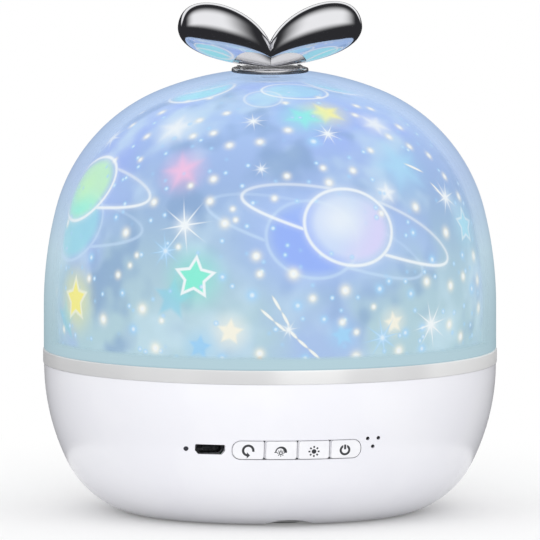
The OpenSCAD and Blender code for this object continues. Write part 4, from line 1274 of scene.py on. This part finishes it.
# %% Finishes for the inner pieces
steel = metal("steel", tint(196, 198, 202), 0.28, (900, 900, 900), 0.08, 0.1)
socket_steel = metal("socket_steel", tint(120, 121, 124), 0.32, (600, 2600, 600), 0.08, 0.1)
brushed = metal("motor_steel", tint(184, 186, 190), 0.34, (150, 150, 5200), 0.1, 0.15)
cast = metal("aluminium", tint(206, 208, 212), 0.4, (700, 700, 3000), 0.1, 0.3)
rubber = plastic("rubber", tint(196, 196, 198), tint(186, 186, 188), 0.75, 0.9, grain=900.0)
acetal = plastic("acetal", tint(240, 236, 222), tint(234, 230, 216), 0.4, 0.3)
black = plastic("black_plastic", tint(34, 34, 36), tint(26, 26, 28), 0.45, 0.5)
sleeve = plastic("cell_sleeve", tint(58, 118, 176), tint(50, 106, 164), 0.3, 0.2, grain=400.0)
light_pipe = plastic("light_pipe", tint(72, 74, 80), tint(60, 62, 68), 0.2, 0.2)
white_board = board("white_board", tint(238, 238, 236), tint(214, 214, 210))
green_board = board("green_board", tint(30, 84, 52), tint(48, 112, 70))
FINISHES = (
    (white_inner, "bottom_cover deck pole_ring"),
    (steel, "bottom_screws deck_screws board_screws motor_screws dome_screw dome_washer "
            "hub_clip motor_shaft"),
    (rubber, "feet"), (acetal, "turntable drive_pinion"), (acrylic(), "film_carrier"),
    (brushed, "gearmotor microphone"), (cast, "heatsink"), (white_board, "led_board"),
    (lamp_die(), "led_emitters"), (green_board, "control_board"),
    (socket_steel, "usb_socket"), (light_pipe, "charge_led"), (sleeve, "battery_cell"),
    (black, "switches switch_stem_1 switch_stem_2 switch_stem_3 switch_stem_4"))
finished = 0
for finish, names in FINISHES:
    for name in names.split():
        finished += 1
        for material_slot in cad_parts[name].material_slots:
            material_slot.material = finish
print("finished from the frame:", finished)

# %% [markdown]
# ## The studio
# A white product shot has a pale floor, a pale surround and broad soft lights. The world
# is white where the camera, a mirror or glass looks at it, and a softer grey where it
# lights the lamp, so whites stay below the clipping point. The floor glows a little for
# the camera and takes the rest of its light from the lamps, so it keeps the shadow. Away
# from the lamp it goes over into the white of the world.

# %% The world
def looked_at(tree):
    """1 where the camera, a mirror or glass looks, and 0 where light is gathered."""
    ray = put(tree, "LightPath").outputs
    seen = maths(tree, "MAXIMUM", ray["Is Camera Ray"], ray["Is Transmission Ray"])
    return maths(tree, "MAXIMUM", seen, ray["Is Glossy Ray"])


def white(tree, kind, strength):
    return put(tree, kind, {"Color": (1, 1, 1, 1), "Strength": strength})


world = bpy.data.worlds.new("studio")
bpy.context.scene.world = world
world.use_nodes = True
tree = world.node_tree
tree.nodes.clear()
WORLD_LIGHT = 0.91
either = mix_shader(tree, looked_at(tree), white(tree, "Background", WORLD_LIGHT),
                    white(tree, "Background", 1.0))
put(tree, "OutputWorld", {"Surface": either.outputs[0]})
print("the world lights with a strength of", WORLD_LIGHT)

# %% The floor
FLOOR_COLOUR, FLOOR_LIFT = 0.72, 0.19
WHITE_FROM, WHITE_TO = 0.07, 0.21
deselect()
bpy.ops.mesh.primitive_plane_add(size=8.0, location=(0, 0, 0))
floor = bpy.context.active_object
floor.name = floor.data.name = "studio_floor"
finish, tree, place, surface = new_finish("pale_floor")
seen = looked_at(tree)
matt = put(tree, "BsdfDiffuse", {"Color": (FLOOR_COLOUR, FLOOR_COLOUR, FLOOR_COLOUR, 1)})
lift = mix_shader(tree, seen, white(tree, "Emission", 0.0),
                  white(tree, "Emission", FLOOR_LIFT))
near = put(tree, "AddShader", {0: matt.outputs[0], 1: lift.outputs[0]})
away = fade(tree, length(tree, place), WHITE_FROM, WHITE_TO)
away = maths(tree, "MULTIPLY", away, seen)
total = mix_shader(tree, away, near, white(tree, "Emission", 1.0))
tree.links.new(total.outputs[0], surface)
finish.cycles.emission_sampling = "NONE"
floor.data.materials.append(finish)
print("the floor turns white between", WHITE_FROM, "and", WHITE_TO, "m from the middle")

# %% [markdown]
# Chrome shows its surroundings, so it needs something dark to look at. Photographers put
# a tent of black cloth with openings round such an object. Here the tent shows in
# reflections only, and its two openings are soft edged, so the leaves show a broad white
# shape in the middle of the dark, as in the picture. Each opening is a product of fades:
# one over the height, as an angle from the front horizon over the top to the back, and
# one towards the sides.

# %% The reflection tent
TENT_R, TENT_HOLE, TENT_Z = 1500, 90, 2
tent_profile = ([(TENT_HOLE, TENT_Z), (TENT_R, TENT_Z)]
                + arc((0, TENT_Z), TENT_R, 4, 90, 24))
tent = lathe("reflection_tent", tent_profile, steps=48)
finish, tree, place, surface = new_finish("black_cloth")
toward = put(tree, "VectorMath", {0: place}, operation="NORMALIZE").outputs[0]
side = maths(tree, "ABSOLUTE", along(tree, toward, (1, 0, 0)))
over = maths(tree, "ARCTAN2", along(tree, toward, (0, 0, 1)),
             along(tree, toward, (0, -1, 0)))
over = maths(tree, "MULTIPLY", over, 180 / math.pi)


def opening(low, high, sides):
    """Each fade goes from its first number, in the cloth, to its second, in the gap."""
    slot = maths(tree, "MULTIPLY", fade(tree, over, *low), fade(tree, over, *high))
    return maths(tree, "MULTIPLY", slot, fade(tree, side, *sides))


window = maths(tree, "MAXIMUM", opening((2, 24), (98, 56), (0.8, 0.3)),
               opening((118, 130), (162, 152), (0.97, 0.75)))
black_cloth = put(tree, "Emission", {"Color": (0.03, 0.03, 0.033, 1), "Strength": 1.0})
nothing = put(tree, "BsdfTransparent", {"Color": (1, 1, 1, 1)})
cloth = mix_shader(tree, window, black_cloth, nothing)
tree.links.new(cloth.outputs[0], surface)
finish.cycles.emission_sampling = "NONE"
tent.data.materials.append(finish)
for ray_kind in ("camera", "diffuse", "shadow", "transmission", "volume_scatter"):
    setattr(tent, "visible_" + ray_kind, False)
print("tent faces:", len(tent.data.polygons))

# %% [markdown]
# Two softboxes light the lamp: a wide one overhead for an even light, and a small one in
# front that makes the middle of the bowl a little brighter than its sides. They don't
# show in the chrome or to the camera.

# %% Softboxes
def softbox(name, place, target, size, watts):
    deselect()
    bpy.ops.object.light_add(type="AREA", location=place)
    lamp = bpy.context.active_object
    lamp.name = lamp.data.name = name
    lamp.data.shape = "RECTANGLE"
    lamp.data.size, lamp.data.size_y = size
    lamp.data.energy = watts
    aim = Vector(target) - Vector(place)
    lamp.rotation_euler = aim.to_track_quat("-Z", "Y").to_euler()
    lamp.visible_glossy = lamp.visible_camera = False
    print(name, watts, "W")


softbox("overhead_box", (0, -0.15, 1.4), (0, 0, 0.07), (1.3, 1.3), 3.5)
softbox("front_box", (-0.18, -1.45, 0.36), (0, 0, 0.05), (0.4, 0.3), 5.0)

# %% [markdown]
# ## The camera
# The picture was taken from almost straight ahead, a little to the left of the buttons
# and a little above. The ellipse of the band gives the height, and the place of the
# buttons beside the lamp's axis gives the turn. A long lens from 6 m keeps it nearly flat,
# and the lens follows from the width that the picture shows at the lamp.

# %% Place the camera
AZIMUTH, ELEVATION, DISTANCE = math.radians(-7.3), math.radians(5.64), 6.0
SENSOR, PICTURE_WIDTH = 36.0, 0.15462
target = Vector((0, 0, 0.0691))
offset = Vector((math.sin(AZIMUTH) * math.cos(ELEVATION),
                 -math.cos(AZIMUTH) * math.cos(ELEVATION), math.sin(ELEVATION))) * DISTANCE
deselect()
bpy.ops.object.camera_add(location=target + offset)
camera = bpy.context.active_object
camera.name = camera.data.name = "product_camera"
camera.rotation_euler = (-offset).to_track_quat("-Z", "Y").to_euler()
camera.data.sensor_width = SENSOR
camera.data.lens = SENSOR * DISTANCE / PICTURE_WIDTH
camera.data.clip_end = 50.0
bpy.context.scene.camera = camera
bpy.context.scene.view_settings.view_transform = "Standard"
print("lens", round(camera.data.lens, 1), "mm")
